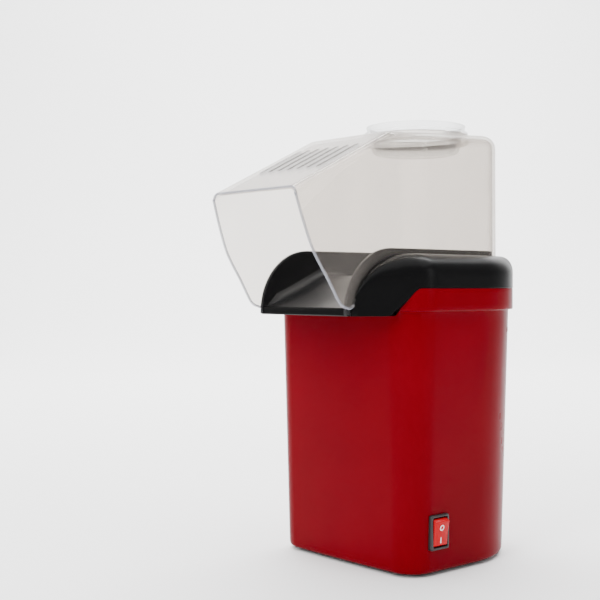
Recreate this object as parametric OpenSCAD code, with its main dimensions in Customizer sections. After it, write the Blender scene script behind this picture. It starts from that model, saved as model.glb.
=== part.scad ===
// Hot-air popcorn maker: a bucket-shaped housing with a blower and heater inside,
// a dark collar with a pouring chute, a lift-off clear hood and a nested measuring cup.
// Millimetres, +Z up, chute towards -Y, switch side towards +X. The modules are drawn about
// the popping chamber's axis; at the end of the file they are moved back along Y, so that the
// origin lies on the table under the middle of the whole popcorn maker.

/* [Housing] */
// Width of the housing at its top
body_w = 133; // [122:1:165]
// Chamber axis to the flat front of the housing
body_front = 67.5; // [61:0.5:82]
// Radius of the two front corners, seen from above
corner_r = 21.5; // [18:0.5:26]
// Height of the seam between housing and collar, above the table
body_h = 178; // [160:1:220]
// How much narrower each side is at the foot
draft_in = 4.2; // [0:0.1:6]
// Wall thickness of the housing
wall = 2.4; // [1.8:0.1:3.2]
// Height of the raised band under the collar
band_h = 14; // [8:0.5:18]
// How far that band stands out
band_out = 3; // [1.5:0.1:4]
// Gap between the housing's foot and the table
foot_gap = 2; // [1:0.1:3]

/* [Collar] */
// Height of the collar above the seam
collar_h = 21.5; // [18:0.5:28]
// How far the collar drops below the seam at the front
apron_drop = 17; // [12:0.5:22]
// Chamber axis to the front of the chute's nose
nose_reach = 95; // [88:0.5:106]
// Width of the nose
nose_w = 92; // [88:0.5:100]
// Wall thickness of the collar
collar_wall = 2.4; // [1.8:0.1:3]

/* [Chute] */
// Outside width of the chute liner
liner_w = 81.6; // [78:0.2:84]
// Chamber axis to the liner's back wall
liner_back = 47.5; // [44:0.5:52]
// Wall thickness of the liner
liner_wall = 2; // [1.4:0.1:2.6]
// Height of the liner's edge above the collar
cheek_rise = 3.6; // [2:0.1:5]
// Depth of the deck around the chamber, below the top of the collar
deck_drop = 13.5; // [9:0.5:15]

/* [Hood] */
// Height of the hood above the collar
hood_h = 77; // [60:1:95]
// Wall thickness of the hood
hood_wall = 2; // [1.4:0.1:2.6]
// Chamber axis to the front edge of the hood's mouth
mouth_reach = 136; // [126:1:150]
// Width across the top of the mouth
mouth_top_w = 80.6; // [70:0.2:84]
// Chamber axis to the fold where the hood's roof starts to slope
fold_reach = 57; // [48:1:66]
// Height of the mouth's top edge below the fold
mouth_fall = 38.5; // [28:0.5:46]
// How much the roof rises from the fold to the back
roof_rise = 5.6; // [0:0.1:7]
// Number of steam slots in the sloping roof
vent_n = 7; // [3:2:9]
// Spacing of the steam slots
vent_pitch = 9; // [6:0.5:10]

/* [Measuring cup] */
// Outside radius of the cup's rim
cup_r = 33.5; // [28:0.5:36]
// Depth of the cup, rim to underside
cup_h = 19; // [15:0.5:26]
// Height of the rim above the fold of the hood's roof
cup_stand = 11.5; // [10:0.5:15]
// Wall thickness of the cup
cup_wall = 1.8; // [1.2:0.1:2.4]

/* [Popping chamber and duct] */
// Inside radius of the popping chamber
chamber_r = 38; // [34:0.5:38.5]
// Inside depth of the popping chamber
chamber_d = 72; // [55:1:80]
// Thickness of the chamber's aluminium
chamber_wall = 1; // [0.8:0.1:1.2]
// Number of slanted air slots round the chamber's foot
louvre_n = 16; // [8:1:20]
// Gap between the chamber and the hot air duct
duct_gap = 3.2; // [2.6:0.1:4]
// Sheet thickness of the duct
duct_wall = 0.8; // [0.6:0.1:1]

/* [Blower] */
// Radius of the fan
fan_r = 37; // [30:0.5:38]
// Height of the fan
fan_h = 16; // [12:0.5:18]
// Number of fan blades
blade_n = 10; // [7:1:14]
// Radius of the motor
motor_r = 13.8; // [11:0.1:15]
// Length of the motor's can
motor_len = 32; // [26:1:34]
// Radius of the motor shaft
shaft_r = 1.6; // [1:0.1:2]

/* [Heater] */
// Radius of the heater coil
heat_r = 33; // [26:0.5:35]
// Turns of the heater coil
heat_turns = 5; // [3:1:5]
// Rise of the coil for each turn
heat_pitch = 4.4; // [4:0.1:5]
// Radius of the coiled heating wire
heat_wire_r = 1.1; // [0.8:0.1:1.3]

/* [Switch] */
// Width of the switch's frame
switch_w = 16; // [14:0.5:18]
// Height of the switch's frame
switch_h = 21.6; // [19:0.1:25]
// Distance of the switch in front of the chamber axis
switch_fwd = 40.8; // [20:0.2:42]
// Height of the switch's centre
switch_z = 27.5; // [24:0.5:60]
// Tilt of the rocker each side of level
rocker_tilt = 8; // [5:0.5:10]

/* [Fits] */
// Free gap between pieces that lift apart or sit side by side
fit_gap = 0.3; // [0.2:0.05:0.4]
// Radial clearance of a turning pin or shaft
run_gap = 0.05; // [0.02:0.01:0.09]
// Radius of the hole for the mains cord
cord_hole_r = 3.5; // [3:0.1:4]

/* [Hidden] */
$fn = 72;
eps = 0.01;

// Housing
body_r = body_w / 2;
foot_r = body_r - draft_in;
foot_front = body_front - draft_in;
band_r = body_r + band_out;
seam_z = body_h;
band_z = seam_z - band_h;
// The rim is this much thinner inside, to take the collar's spigot
rim_relief = 0.4;
apron_z = seam_z - apron_drop;
top_z = seam_z + collar_h;
// Round the front corners the seam climbs from the apron to the sides
climb_in = nose_w / 2 + 12.5;
climb_out = band_r - 1.1;
climb_y = body_front - corner_r;

// Collar and liner: the chute's shoulders are quarter ellipses
arch_y = 50;
arch_a = nose_reach - arch_y;
arch_b = top_z - apron_z;
liner_half = liner_w / 2;
liner_corner_r = 15;
lip_z = apron_z + collar_wall;
cheek_y = arch_y + 8;
cheek_r = top_z + cheek_rise - lip_z;
deck_z = top_z - deck_drop;
deck_t = 2;
scoop_back = chamber_r + 9;
groove_gap = hood_wall + 2 * fit_gap + 0.3;
groove_half = liner_half + groove_gap;
groove_depth = 3;

// Hood
hood_inner_half = liner_half + fit_gap + 0.2;
hood_half = hood_inner_half + hood_wall;
hood_back = liner_back + fit_gap + 0.2 + hood_wall;
hood_corner_r = liner_corner_r + fit_gap + 0.2 + hood_wall;
roof_z = top_z + hood_h;
mouth_z = roof_z - mouth_fall;
roof_slope = atan2(mouth_fall, mouth_reach - fold_reach);
roof_tilt = atan2(roof_rise, fold_reach + hood_back);
roof_half = hood_half - 0.8;
roof_round = 9;
vent_w = 3.4;
vent_len = 38;

// Measuring cup
cup_y = 6;
cup_top = roof_z + cup_stand;
cup_neck_r = cup_r - 3;
cup_hole_r = cup_neck_r + 0.5;
// The cup sits level, on a ring that clears the rising roof under its whole flange
cup_ring_r = cup_r + 2.5;
cup_ring_top = roof_z + tan(roof_tilt) * (fold_reach + cup_y + cup_ring_r);
cup_ring_h = 6;
cup_seat_z = cup_ring_top + fit_gap;

// Chamber, duct and deck; the duct clears both the chamber and the fan
fan_gap = 5;
chamber_out = chamber_r + chamber_wall;
chamber_floor = deck_z - deck_t - chamber_d;
flange_t = 1;
duct_r = max(chamber_out + duct_gap, fan_r + fan_gap);
duct_out = duct_r + duct_wall;
flange_r = duct_out + 1;
ear_r = 4.6;
ear_at = flange_r + 5.6;
ear_angle = 20;
screw_r = 1.5;
screw_head_r = 2.8;
screw_head_h = 1.8;

// Blower: the motor hangs under the deck, the fan turns above it
plate_z = foot_gap + 1;
plate_t = 3;
plate_top = plate_z + plate_t;
motor_z = plate_top + 16;
deck_plate_z = motor_z + motor_len;
deck_plate_t = 3;
deck_top = deck_plate_z + deck_plate_t;
deck_ring_h = 9;
deck_r = duct_out + 2.5;
fan_z = deck_top + 3.5;
duct_z = deck_top;
duct_top = deck_z - deck_t - flange_t;
leg_r = 4.5;
leg_at = deck_r - 1;
leg_angles = [40, 140, 220, 320];
motor_screw_at = 8.5;

// Heater
heat_z = fan_z + fan_h + 6;
heat_rise = heat_turns * heat_pitch;
card_half = duct_r - 0.1;
card_t = 1;
card_z = heat_z - 3;
card_h = heat_rise + 6;

// Switch: a frame clipped through the +X wall
switch_y = -switch_fwd;
switch_side = foot_r + draft_in * (switch_z - foot_gap) / (band_z - foot_gap);
switch_back = switch_side - 1;
switch_face = switch_side + 2.5;
window_w = switch_w - 3.2;
window_h = switch_h - 3.2;
rocker_x = switch_face - 4;
rocker_r = window_h / 2 - 0.2;
rocker_w = window_w - 0.5;
rocker_pin_r = 1.2;
well_t = 1.2;
well_depth = 13;

// Posts: housing bosses that take the base screws, and posts under the collar
boss_r = 4.5;
boss_h = 22;
boss_rear = foot_r - wall - 3.6;
boss_in = (corner_r - draft_in - wall - 3.6) * sin(45);
boss_side = body_r - corner_r + boss_in;
boss_front = body_front - corner_r + boss_in;
boss_spots = [[boss_side, -boss_front], [-boss_side, -boss_front],
              [boss_rear * cos(45), boss_rear * sin(45)],
              [-boss_rear * cos(45), boss_rear * sin(45)]];
post_at = body_r - wall - 6.4;
post_r = 3.6;
post_spots = [[post_at, -19, 0], [-post_at, -19, 180],
              [post_at * cos(35), post_at * sin(35), 35],
              [-post_at * cos(35), post_at * sin(35), 145]];
shelf_z = apron_z - 12;
shelf_t = 3;
foot_spots = [[38, -46], [-38, -46], [27, 42], [-27, 42]];
foot_pad_r = 6;
gland_z = 20;
gland_in_r = 6;

// Internal leads, as points chosen by hand and run along the walls
lead_r = 1.1;
rear_in = foot_r - wall - 5;
blade_end = switch_back - well_depth - 7.05;
mains_path = [[0, rear_in, gland_z], [14, 51, 18], [26, 44, 14], [35, 35.5, 12], [45, 24, 12],
              [50, 8, 12], [50, -8, 12], [47, -20, 14], [42, -29, 17], [36, -37, 20],
              [37.5, switch_y, switch_z - 5], [blade_end - 0.15, switch_y, switch_z - 5]];
motor_path = [[16.2, -4, motor_z - 5.2], [19, -4.5, motor_z - 5.2], [25, -11, 15],
              [27, -22, 15], [27, -33, 20], [31, switch_y + 1, 29], [37, switch_y, switch_z + 5],
              [blade_end - 0.15, switch_y, switch_z + 5]];
heater_path = [[-16.25, 4, motor_z - 5.2], [-19, 4, motor_z - 5.2], [-28, 8, 14],
               [-42, 10, 14], [-51, 15, 26],
               [-53, 17, 50], [-50, 20, 80], [-40, 29, card_z + 14], [-24, 43.5, card_z + 15],
               [-15, 47.6, card_z + 13], [-7.1, duct_out + 4, card_z + 12]];

// Plan outlines -------------------------------------------------------------

// D-shaped outline: round back, straight sides, rounded front corners
module d_plan(r, front, rc) {
    circle(r);
    translate([-r, -(front - rc)]) square([2 * r, front - rc]);
    translate([-(r - rc), -front]) square([2 * (r - rc), front]);
    for (s = [-1, 1]) translate([s * (r - rc), -(front - rc)]) circle(rc);
}

// Housing outline, inset from the top section
module housing_plan(inset) {
    d_plan(body_r - inset, body_front - inset, corner_r - min(inset, corner_r - 12));
}

// Straight-sided outline of the liner, open far to the front
module liner_plan(half, back, rc, front = 200) {
    translate([-half, -front]) square([2 * half, front + back - rc]);
    translate([-(half - rc), -front]) square([2 * (half - rc), front + back]);
    for (s = [-1, 1]) translate([s * (half - rc), back - rc]) circle(rc);
}

// Collar outline: the housing's band and the chute's nose drawn together
module collar_plan(inset) {
    hull() {
        d_plan(band_r - inset, body_front + band_out - inset, corner_r + 2 - inset);
        for (s = [-1, 1])
            translate([s * (nose_w / 2 - 8), -(nose_reach - 8)]) circle(8 - inset, $fn = 32);
    }
}

// Stand a side profile, drawn as [y, z], up across the whole width
module across(width = 300) {
    rotate([90, 0, 90]) translate([0, 0, -width / 2]) linear_extrude(width) children();
}

// Collar side profile: quarter ellipse, then level to the back
module collar_profile(inset) {
    polygon(concat(
        [for (a = [180:-5:90]) [-arch_y + (arch_a - inset) * cos(a),
                                apron_z + (arch_b - inset) * sin(a)]],
        [[100, top_z - inset], [100, apron_z]]));
}

// The space under the seam, which belongs to the housing
module below_seam() {
    translate([-150, -climb_y, apron_z - 20]) cube([300, 300, apron_drop + 20]);
    rotate([90, 0, 0]) translate([0, 0, climb_y - 1]) linear_extrude(150) polygon([
        [-150, seam_z], [-climb_out, seam_z], [-climb_in, apron_z], [climb_in, apron_z],
        [climb_out, seam_z], [150, seam_z], [150, apron_z - 20], [-150, apron_z - 20]]);
}

// Everything above the collar's arch, lowered by an amount
module above_arch(inset) {
    polygon(concat(
        [for (a = [180:-5:90]) [-arch_y + (arch_a - inset) * cos(a),
                                apron_z + (arch_b - inset) * sin(a)]],
        [[100, top_z - inset], [100, 400], [-200, 400], [-200, apron_z]]));
}

// Liner side profile: quarter-round cheek, then level to the back
module cheek_profile() {
    polygon(concat(
        [for (a = [180:-5:90]) [-cheek_y + cheek_r * cos(a), lip_z + cheek_r * sin(a)]],
        [[100, lip_z + cheek_r], [100, deck_z - deck_t], [-arch_y, deck_z - deck_t],
         [-arch_y, lip_z]]));
}

// Housing --------------------------------------------------------------------

// Tapered bucket; inset moves its skin inwards
module bucket(inset, low, high) {
    hull() {
        translate([0, 0, low]) linear_extrude(0.1) housing_plan(draft_in + 1.6 + inset);
        translate([0, 0, low + 1.8]) linear_extrude(0.1) housing_plan(draft_in + inset);
        translate([0, 0, high - 0.1]) linear_extrude(0.1) housing_plan(inset);
    }
}

// One of the shelves that the collar's posts stand on, run out to the wall at angle p[2]
module post_shelf(p) {
    translate([p[0], p[1], shelf_z]) rotate([0, 0, p[2]])
        translate([-post_r - 1.5, -post_r - 1.5, 0])
        cube([post_r + 1.5 + body_r - post_at - wall / 2 - 0.6, 2 * post_r + 3, shelf_t]);
}

module main_housing() {
    color([0.6, 0.01, 0.06]) difference() {
        union() {
            difference() {
                union() {
                    bucket(0, foot_gap, band_z);
                    translate([0, 0, band_z]) linear_extrude(band_h)
                        d_plan(band_r, body_front + band_out, corner_r + 2);
                }
                bucket(wall, foot_gap - 1.8, band_z);
                translate([0, 0, band_z - 1.5]) linear_extrude(band_h + 3)
                    housing_plan(wall - rim_relief);
            }
            for (p = boss_spots) translate([p[0], p[1], plate_top]) cylinder(h = boss_h, r = boss_r);
            for (p = post_spots) post_shelf(p);
        }
        // the collar's apron takes the place of the front rim
        difference() {
            translate([-150, -150, apron_z]) cube([300, 300, 60]);
            below_seam();
        }
        // flat and cut-out for the switch
        translate([switch_back, switch_y - switch_w / 2 - 0.1, switch_z - switch_h / 2 - 0.1])
            cube([20, switch_w + 0.2, switch_h + 0.2]);
        translate([switch_back - 12, switch_y - window_w / 2 - well_t - 0.1,
                   switch_z - window_h / 2 - well_t - 0.1])
            cube([30, window_w + 2 * well_t + 0.2, window_h + 2 * well_t + 0.2]);
        // hole for the cord gland
        translate([0, foot_r - 15, gland_z]) rotate([-90, 0, 0]) cylinder(h = 30, r = gland_in_r);
        for (p = boss_spots) translate([p[0], p[1], plate_top - 1])
            cylinder(h = boss_h - 3, r = screw_r);
        for (p = post_spots) translate([p[0], p[1], shelf_z - 1])
            cylinder(h = shelf_t + 2, r = screw_r + 0.2);
    }
}

// Collar ---------------------------------------------------------------------

module collar_shell() {
    color([0.1, 0.1, 0.105]) difference() {
        union() {
            difference() {
                difference() {
                    intersection() {
                        translate([0, 0, apron_z]) linear_extrude(arch_b + 1) collar_plan(0);
                        across() collar_profile(0);
                    }
                    below_seam();
                }
                // hollow inside, closed by the apron floor in front of the housing
                difference() {
                    union() {
                        intersection() {
                            translate([0, 0, lip_z]) linear_extrude(arch_b)
                                collar_plan(collar_wall);
                            across() collar_profile(collar_wall);
                        }
                        translate([0, 0, apron_z - 1]) linear_extrude(apron_drop)
                            housing_plan(wall);
                    }
                    // walls and ledge of the hood's groove
                    intersection() {
                        translate([0, 0, apron_z]) linear_extrude(arch_b) liner_plan(
                            groove_half + collar_wall, hood_back + fit_gap + 0.1 + collar_wall,
                            hood_corner_r + collar_wall);
                        across() above_arch(groove_depth + collar_wall);
                    }
                }
            }
            // seat on the housing's rim and spigot inside it, behind the front corners
            difference() {
                union() {
                    translate([0, 0, seam_z]) linear_extrude(1.6) difference() {
                        collar_plan(collar_wall / 2);
                        housing_plan(wall + fit_gap + 1.6);
                    }
                    translate([0, 0, seam_z - 6]) linear_extrude(7) difference() {
                        housing_plan(wall - rim_relief + fit_gap);
                        housing_plan(wall + fit_gap + 1.6);
                    }
                }
                translate([-100, -130, seam_z - 10]) cube([200, 130 - climb_y, 30]);
            }
            for (p = post_spots) translate([p[0], p[1], shelf_z + shelf_t])
                cylinder(h = top_z - collar_wall - shelf_z - shelf_t + 0.5, r = post_r);
        }
        // groove for the hood, then the opening for the liner
        intersection() {
            translate([0, 0, apron_z]) linear_extrude(arch_b + 5)
                liner_plan(groove_half, hood_back + fit_gap + 0.1, hood_corner_r);
            across() above_arch(groove_depth);
        }
        translate([0, 0, lip_z]) linear_extrude(arch_b + 5)
            liner_plan(liner_half + 0.2, liner_back + 0.2, liner_corner_r);
        for (p = post_spots) translate([p[0], p[1], shelf_z])
            cylinder(h = 22, r = screw_r);
    }
}

// Chute liner ------------------------------------------------------------------

module ear_spots() {
    for (a = [ear_angle, 180 - ear_angle, 180 + ear_angle, -ear_angle])
        rotate([0, 0, a]) translate([ear_at, 0, 0]) children();
}

module chute_liner() {
    color([0.17, 0.17, 0.18]) difference() {
        union() {
            // cheeks and back wall
            intersection() {
                translate([0, 0, lip_z]) linear_extrude(cheek_r) difference() {
                    liner_plan(liner_half, liner_back, liner_corner_r);
                    liner_plan(liner_half - liner_wall, liner_back - liner_wall,
                               liner_corner_r - liner_wall);
                }
                across() cheek_profile();
            }
            // scoop floor, climbing from the lip to the deck
            across(2 * liner_half - liner_wall) polygon([
                [-cheek_y - cheek_r + 0.6, lip_z], [-cheek_y - cheek_r + 0.6, lip_z + 4],
                [-scoop_back, deck_z], [-scoop_back, deck_z - deck_t],
                [-nose_reach + 8, lip_z]]);
            translate([0, 0, deck_z - deck_t]) linear_extrude(deck_t) intersection() {
                liner_plan(liner_half - 0.5, liner_back - 0.5, liner_corner_r);
                translate([-60, -scoop_back]) square([120, 120]);
            }
            // flange and bosses that carry the chamber and its duct
            translate([0, 0, deck_z - deck_t]) cylinder(h = deck_t, r = flange_r);
            ring_ears(deck_z - deck_t, deck_t);
            ear_spots() translate([0, 0, deck_z - deck_t]) cylinder(h = 9, r = ear_r);
        }
        translate([0, 0, deck_z - 20]) cylinder(h = 40, r = chamber_r + 0.2);
        ear_spots() translate([0, 0, deck_z - deck_t - 1]) cylinder(h = 8, r = screw_r);
    }
}

// Hood -------------------------------------------------------------------------

// Side edge of the mouth as [forward of the axis, height, half width]
mouth_low = [nose_reach + 2, apron_z + 4.7, hood_half];
mouth_edge = [mouth_low,
              [nose_reach + 9, apron_z + 8, hood_half - 0.1],
              [nose_reach + 18, apron_z + 22, hood_half - 0.5],
              [mouth_reach - 12, top_z, hood_half - 1.1],
              [mouth_reach - 5, top_z + 17, hood_half - 2],
              [mouth_reach + 0.7, mouth_z - 4, mouth_top_w / 2]];

module hood_bar(y, z, half) {
    translate([-half, -y, z]) cube([2 * half, 0.1, 0.1]);
}

// Lays something drawn about z 0 on the roof, which rises from the fold to the back
module on_roof() {
    translate([0, -fold_reach, roof_z]) rotate([roof_tilt, 0, 0])
        translate([0, fold_reach, 0]) children();
}

// Closed outer form of the hood; inset gives the inner face
module hood_block(inset, reach, drop) {
    hull() {
        for (p = mouth_edge) hood_bar(p[0] + reach, p[1] - drop, p[2] - inset);
        // the roof's front edge runs on along its own slope
        hood_bar(mouth_reach + reach, mouth_z - inset - reach * tan(roof_slope),
                 mouth_top_w / 2 - 5 - inset);
        translate([0, 0, apron_z + arch_b - groove_depth - drop]) linear_extrude(0.1)
            liner_plan(hood_half - inset, hood_back - inset, hood_corner_r - inset, 40);
        on_roof() {
            translate([0, 0, -roof_round - inset]) linear_extrude(0.1)
                liner_plan(roof_half - inset, hood_back - 0.5 - inset, hood_corner_r - inset,
                           fold_reach - 6);
            translate([0, 0, -0.3 * roof_round - inset]) linear_extrude(0.1)
                liner_plan(roof_half - 0.3 * roof_round - inset,
                           hood_back - 0.3 * roof_round - inset, hood_corner_r - inset,
                           fold_reach - 2);
            translate([0, 0, -inset - 0.1]) linear_extrude(0.1)
                liner_plan(roof_half - roof_round - inset, hood_back - roof_round - inset,
                           hood_corner_r - inset, fold_reach);
        }
    }
}

module hood() {
    color([0.9, 0.93, 0.95, 0.35]) difference() {
        union() {
            difference() {
                hood_block(0, 0, 0);
                hood_block(hood_wall, 14, 12);
            }
            translate([0, cup_y, cup_ring_top - cup_ring_h])
                cylinder(h = cup_ring_h, r = cup_ring_r);
        }
        // lower edge follows the groove, just above its ledge
        across() polygon(concat(
            [for (a = [180:-5:90]) [-arch_y + (arch_a - groove_depth + fit_gap) * cos(a),
                                    apron_z + (arch_b - groove_depth + fit_gap) * sin(a)]],
            [[100, top_z - groove_depth + fit_gap], [100, 0], [-nose_reach - 40, 0],
             [-nose_reach - 40, apron_z + 4], [-nose_reach, apron_z + 4]]));
        translate([0, cup_y, roof_z - 30]) cylinder(h = 60, r = cup_hole_r);
        for (i = [0:vent_n - 1])
            translate([(i - (vent_n - 1) / 2) * vent_pitch, -fold_reach, roof_z])
                rotate([roof_slope, 0, 0]) translate([-vent_w / 2, -20 - vent_len, -5])
                    cube([vent_w, vent_len, 8]);
    }
}

// Measuring cup ------------------------------------------------------------------

module measuring_cup() {
    low = cup_top - cup_h;
    color([0.9, 0.93, 0.95, 0.35]) translate([0, cup_y, 0]) {
        rotate_extrude() polygon([
            [0, low], [cup_neck_r - 3, low], [cup_neck_r - 0.8, low + 2.5],
            [cup_neck_r, cup_seat_z], [cup_r + 2, cup_seat_z], [cup_r + 2, cup_seat_z + 1.5],
            [cup_r - 0.7, cup_seat_z + 2], [cup_r, cup_top], [cup_r - cup_wall, cup_top],
            [cup_r - 0.7 - cup_wall, cup_seat_z + 2.4], [cup_neck_r - cup_wall, cup_seat_z + 1],
            [cup_neck_r - 1 - cup_wall, low + 3.2], [cup_neck_r - 3 - cup_wall, low + cup_wall],
            [0, low + cup_wall]]);
        translate([-5, cup_r - 1.2, cup_top - 1.6]) cube([10, 6.2, 1.6]);
    }
}

// Popping chamber and air duct -----------------------------------------------------

module ring_ears(z, t) {
    ear_spots() translate([0, 0, z]) {
        cylinder(h = t, r = ear_r);
        translate([flange_r - ear_at - 0.7, -ear_r + 0.1, 0])
            cube([ear_at - flange_r + 0.7, 2 * ear_r - 0.2, t]);
    }
}

module popping_chamber() {
    top = deck_z - deck_t;
    color([0.75, 0.76, 0.78]) difference() {
        union() {
            rotate_extrude() polygon([
                [0, chamber_floor - chamber_wall], [chamber_out - 4, chamber_floor - chamber_wall],
                [chamber_out, chamber_floor + 3], [chamber_out, top - flange_t],
                [flange_r, top - flange_t], [flange_r, top], [chamber_r, top],
                [chamber_r, chamber_floor + 3.4], [chamber_r - 3.4, chamber_floor],
                [0, chamber_floor]]);
            ring_ears(top - flange_t, flange_t);
            // stamped kernel stop in the middle of the floor
            translate([0, 0, chamber_floor - 0.2]) cylinder(h = 5, r1 = 9, r2 = 3);
        }
        for (i = [0:louvre_n - 1]) rotate([0, 0, i * 360 / louvre_n])
            translate([chamber_r - 3, 0, chamber_floor + 6]) rotate([0, 0, 38])
                cube([9, 1.6, 11]);
        translate([0, 0, top - flange_t - 1]) ear_spots() cylinder(h = 4, r = screw_r + 0.2);
    }
}

module air_duct() {
    color([0.62, 0.63, 0.65]) difference() {
        union() {
            translate([0, 0, duct_z]) cylinder(h = duct_top - duct_z, r = duct_out);
            translate([0, 0, duct_top - 1]) cylinder(h = 1, r = flange_r);
            ring_ears(duct_top - 1, 1);
        }
        translate([0, 0, duct_z - 1]) cylinder(h = duct_top - duct_z + 2, r = duct_r);
        translate([0, 0, duct_top - 2]) ear_spots() cylinder(h = 4, r = screw_r + 0.2);
    }
}

// Heater -----------------------------------------------------------------------------

function coil_point(t) = [heat_r * cos(360 * t), heat_r * sin(360 * t), heat_z + heat_pitch * t];

// Notches that the coil lies in, where it crosses a card at quarter-turn q
module coil_notches(q) {
    for (k = [0:heat_turns], s = [0, 0.5]) {
        t = k + s + q;
        if (t <= heat_turns + eps)
            translate(coil_point(t)) rotate([90, 0, 360 * t])
                cylinder(h = 4, r = heat_wire_r + 0.25, center = true, $fn = 24);
    }
}

// Card along X, halved from above or below so that the two interlock
module mica_card(slot_low) {
    difference() {
        translate([-card_half, -card_t / 2, card_z]) cube([2 * card_half, card_t, card_h]);
        translate([-card_t / 2 - 0.05, -2, slot_low]) cube([card_t + 0.1, 4, card_h / 2 + eps]);
        for (s = [-1, 1]) translate([s * card_half / 2, 0, card_z + card_h / 2])
            rotate([90, 0, 0]) cylinder(h = 6, r = 4, center = true);
    }
}

module mica_card_a() {
    color([0.72, 0.66, 0.52]) difference() {
        mica_card(card_z + card_h / 2);
        coil_notches(0);
    }
}

module mica_card_b() {
    color([0.72, 0.66, 0.52]) difference() {
        rotate([0, 0, 90]) mica_card(card_z - eps);
        coil_notches(0.25);
    }
}

// Round tube swept along points; each ring stands square to the run
function unit(v) = v / norm(v);
function heading(p, i) = unit(p[min(i + 1, len(p) - 1)] - p[max(i - 1, 0)]);
function side_of(d) = unit(cross(d, abs(d[2]) > 0.9 ? [1, 0, 0] : [0, 0, 1]));

module tube(path, r, sides = 8) {
    n = len(path);
    rings = [for (i = [0:n - 1]) let (d = heading(path, i), u = side_of(d), v = cross(d, u))
             for (k = [0:sides - 1]) let (a = 360 * k / sides)
             path[i] + r * (u * cos(a) + v * sin(a))];
    walls = [for (i = [0:n - 2], k = [0:sides - 1]) let (j = (k + 1) % sides)
             [i * sides + k, i * sides + j, (i + 1) * sides + j, (i + 1) * sides + k]];
    polyhedron(rings, concat(walls, [[for (k = [sides - 1:-1:0]) k]],
                             [[for (k = [0:sides - 1]) (n - 1) * sides + k]]));
}

// A smooth curve through hand-placed points, a few steps to each span
function spline_point(a, b, c, d, t) = 0.5 * ((2 * b) + (c - a) * t + (2 * a - 5 * b + 4 * c - d) * t * t
                                       + (3 * b - a - 3 * c + d) * t * t * t);
function smooth_run(p, steps = 3) = concat(
    [for (i = [0:len(p) - 2], s = [0:steps - 1])
        spline_point(p[max(i - 1, 0)], p[i], p[i + 1], p[min(i + 2, len(p) - 1)], s / steps)],
    [p[len(p) - 1]]);

module heater_coil() {
    // sixteen rings a turn, so that one lies in each notch
    color([0.45, 0.4, 0.36])
        tube([for (i = [0:heat_turns * 16]) coil_point(i / 16)], heat_wire_r);
}

// Thermostat and fuse sit on the outside of the duct, at the back
module thermostat() {
    color([0.25, 0.24, 0.22]) difference() {
        union() {
            translate([0, duct_out - 3, card_z + 12]) rotate([-90, 0, 0]) cylinder(h = 8.5, r = 7);
            translate([-11, duct_out - 3, card_z + 10]) cube([22, 4, 4]);
        }
        translate([0, 0, card_z - 5]) cylinder(h = 40, r = duct_out + 0.1);
    }
}

module thermal_fuse() {
    color([0.8, 0.78, 0.74]) rotate([0, 0, 128]) difference() {
        union() {
            translate([duct_out + 1.6, 0, card_z + 4]) cylinder(h = 12, r = 2);
            translate([duct_out - 1, -1.2, card_z + 8]) cube([3, 2.4, 4]);
        }
        translate([0, 0, card_z - 5]) cylinder(h = 40, r = duct_out + 0.1);
    }
}

// Blower -----------------------------------------------------------------------------

module fan() {
    color([0.85, 0.85, 0.83]) difference() {
        union() {
            translate([0, 0, fan_z]) cylinder(h = 1.6, r = fan_r);
            translate([0, 0, fan_z]) cylinder(h = fan_h, r = 7);
            for (i = [0:blade_n - 1]) rotate([0, 0, i * 360 / blade_n])
                translate([6.2, 0, fan_z + 1]) rotate([0, 0, 24])
                    cube([fan_r - 9.4, 1.4, fan_h - 2.5]);
        }
        translate([0, 0, fan_z - 1]) cylinder(h = fan_h + 2, r = shaft_r);
    }
}

module motor_shaft() {
    color([0.8, 0.8, 0.82])
        translate([0, 0, motor_z - 1]) cylinder(h = fan_z + fan_h - motor_z + 3, r = shaft_r);
}

module motor_can() {
    color([0.7, 0.71, 0.73]) difference() {
        union() {
            translate([0, 0, motor_z]) cylinder(h = motor_len, r = motor_r);
            translate([0, 0, motor_z - 2.5]) cylinder(h = motor_len + 5, r = 5);
        }
        translate([0, 0, motor_z - 1.5]) cylinder(h = motor_len + 10, r = shaft_r + run_gap);
        for (s = [-1, 1]) {
            translate([s * motor_screw_at, 0, deck_plate_z - 8]) cylinder(h = 9, r = 1.3);
            translate([-3, s * motor_r - 1, motor_z + 5]) cube([6, 2, 9]);
        }
    }
}

// Deck: carries the motor below, the fan's ring above, and stands on four legs
module fan_deck() {
    color([0.16, 0.16, 0.17]) difference() {
        union() {
            translate([0, 0, deck_plate_z]) cylinder(h = deck_plate_t + deck_ring_h, r = deck_r);
            for (a = leg_angles) rotate([0, 0, a]) translate([leg_at, 0, plate_top])
                cylinder(h = deck_plate_z - plate_top + deck_plate_t, r = leg_r);
        }
        translate([0, 0, deck_top]) cylinder(h = 20, r = duct_out + 0.2);
        translate([0, 0, deck_plate_z - 1]) cylinder(h = 10, r = 5.2);
        for (s = [-1, 1]) translate([s * motor_screw_at, 0, deck_plate_z - 1])
            cylinder(h = 10, r = 1.5);
        for (i = [0:11]) rotate([0, 0, 15 + i * 30]) translate([17, -2.6, deck_plate_z - 1])
            cube([16, 5.2, 10]);
        for (a = leg_angles) rotate([0, 0, a]) translate([leg_at, 0, plate_top - 1])
            cylinder(h = 16, r = screw_r);
    }
}

// Rectifier under the motor, hung on the motor's two tabs
module rectifier_board() {
    board_z = motor_z - 6;
    color([0.2, 0.42, 0.25]) {
        translate([-16, -9, board_z]) cube([32, 18, 1.6]);
        for (s = [-1, 1]) translate([s * 9 - 0.3, -1.4, board_z + 1]) cube([0.6, 2.8, 5]);
    }
}

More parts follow.
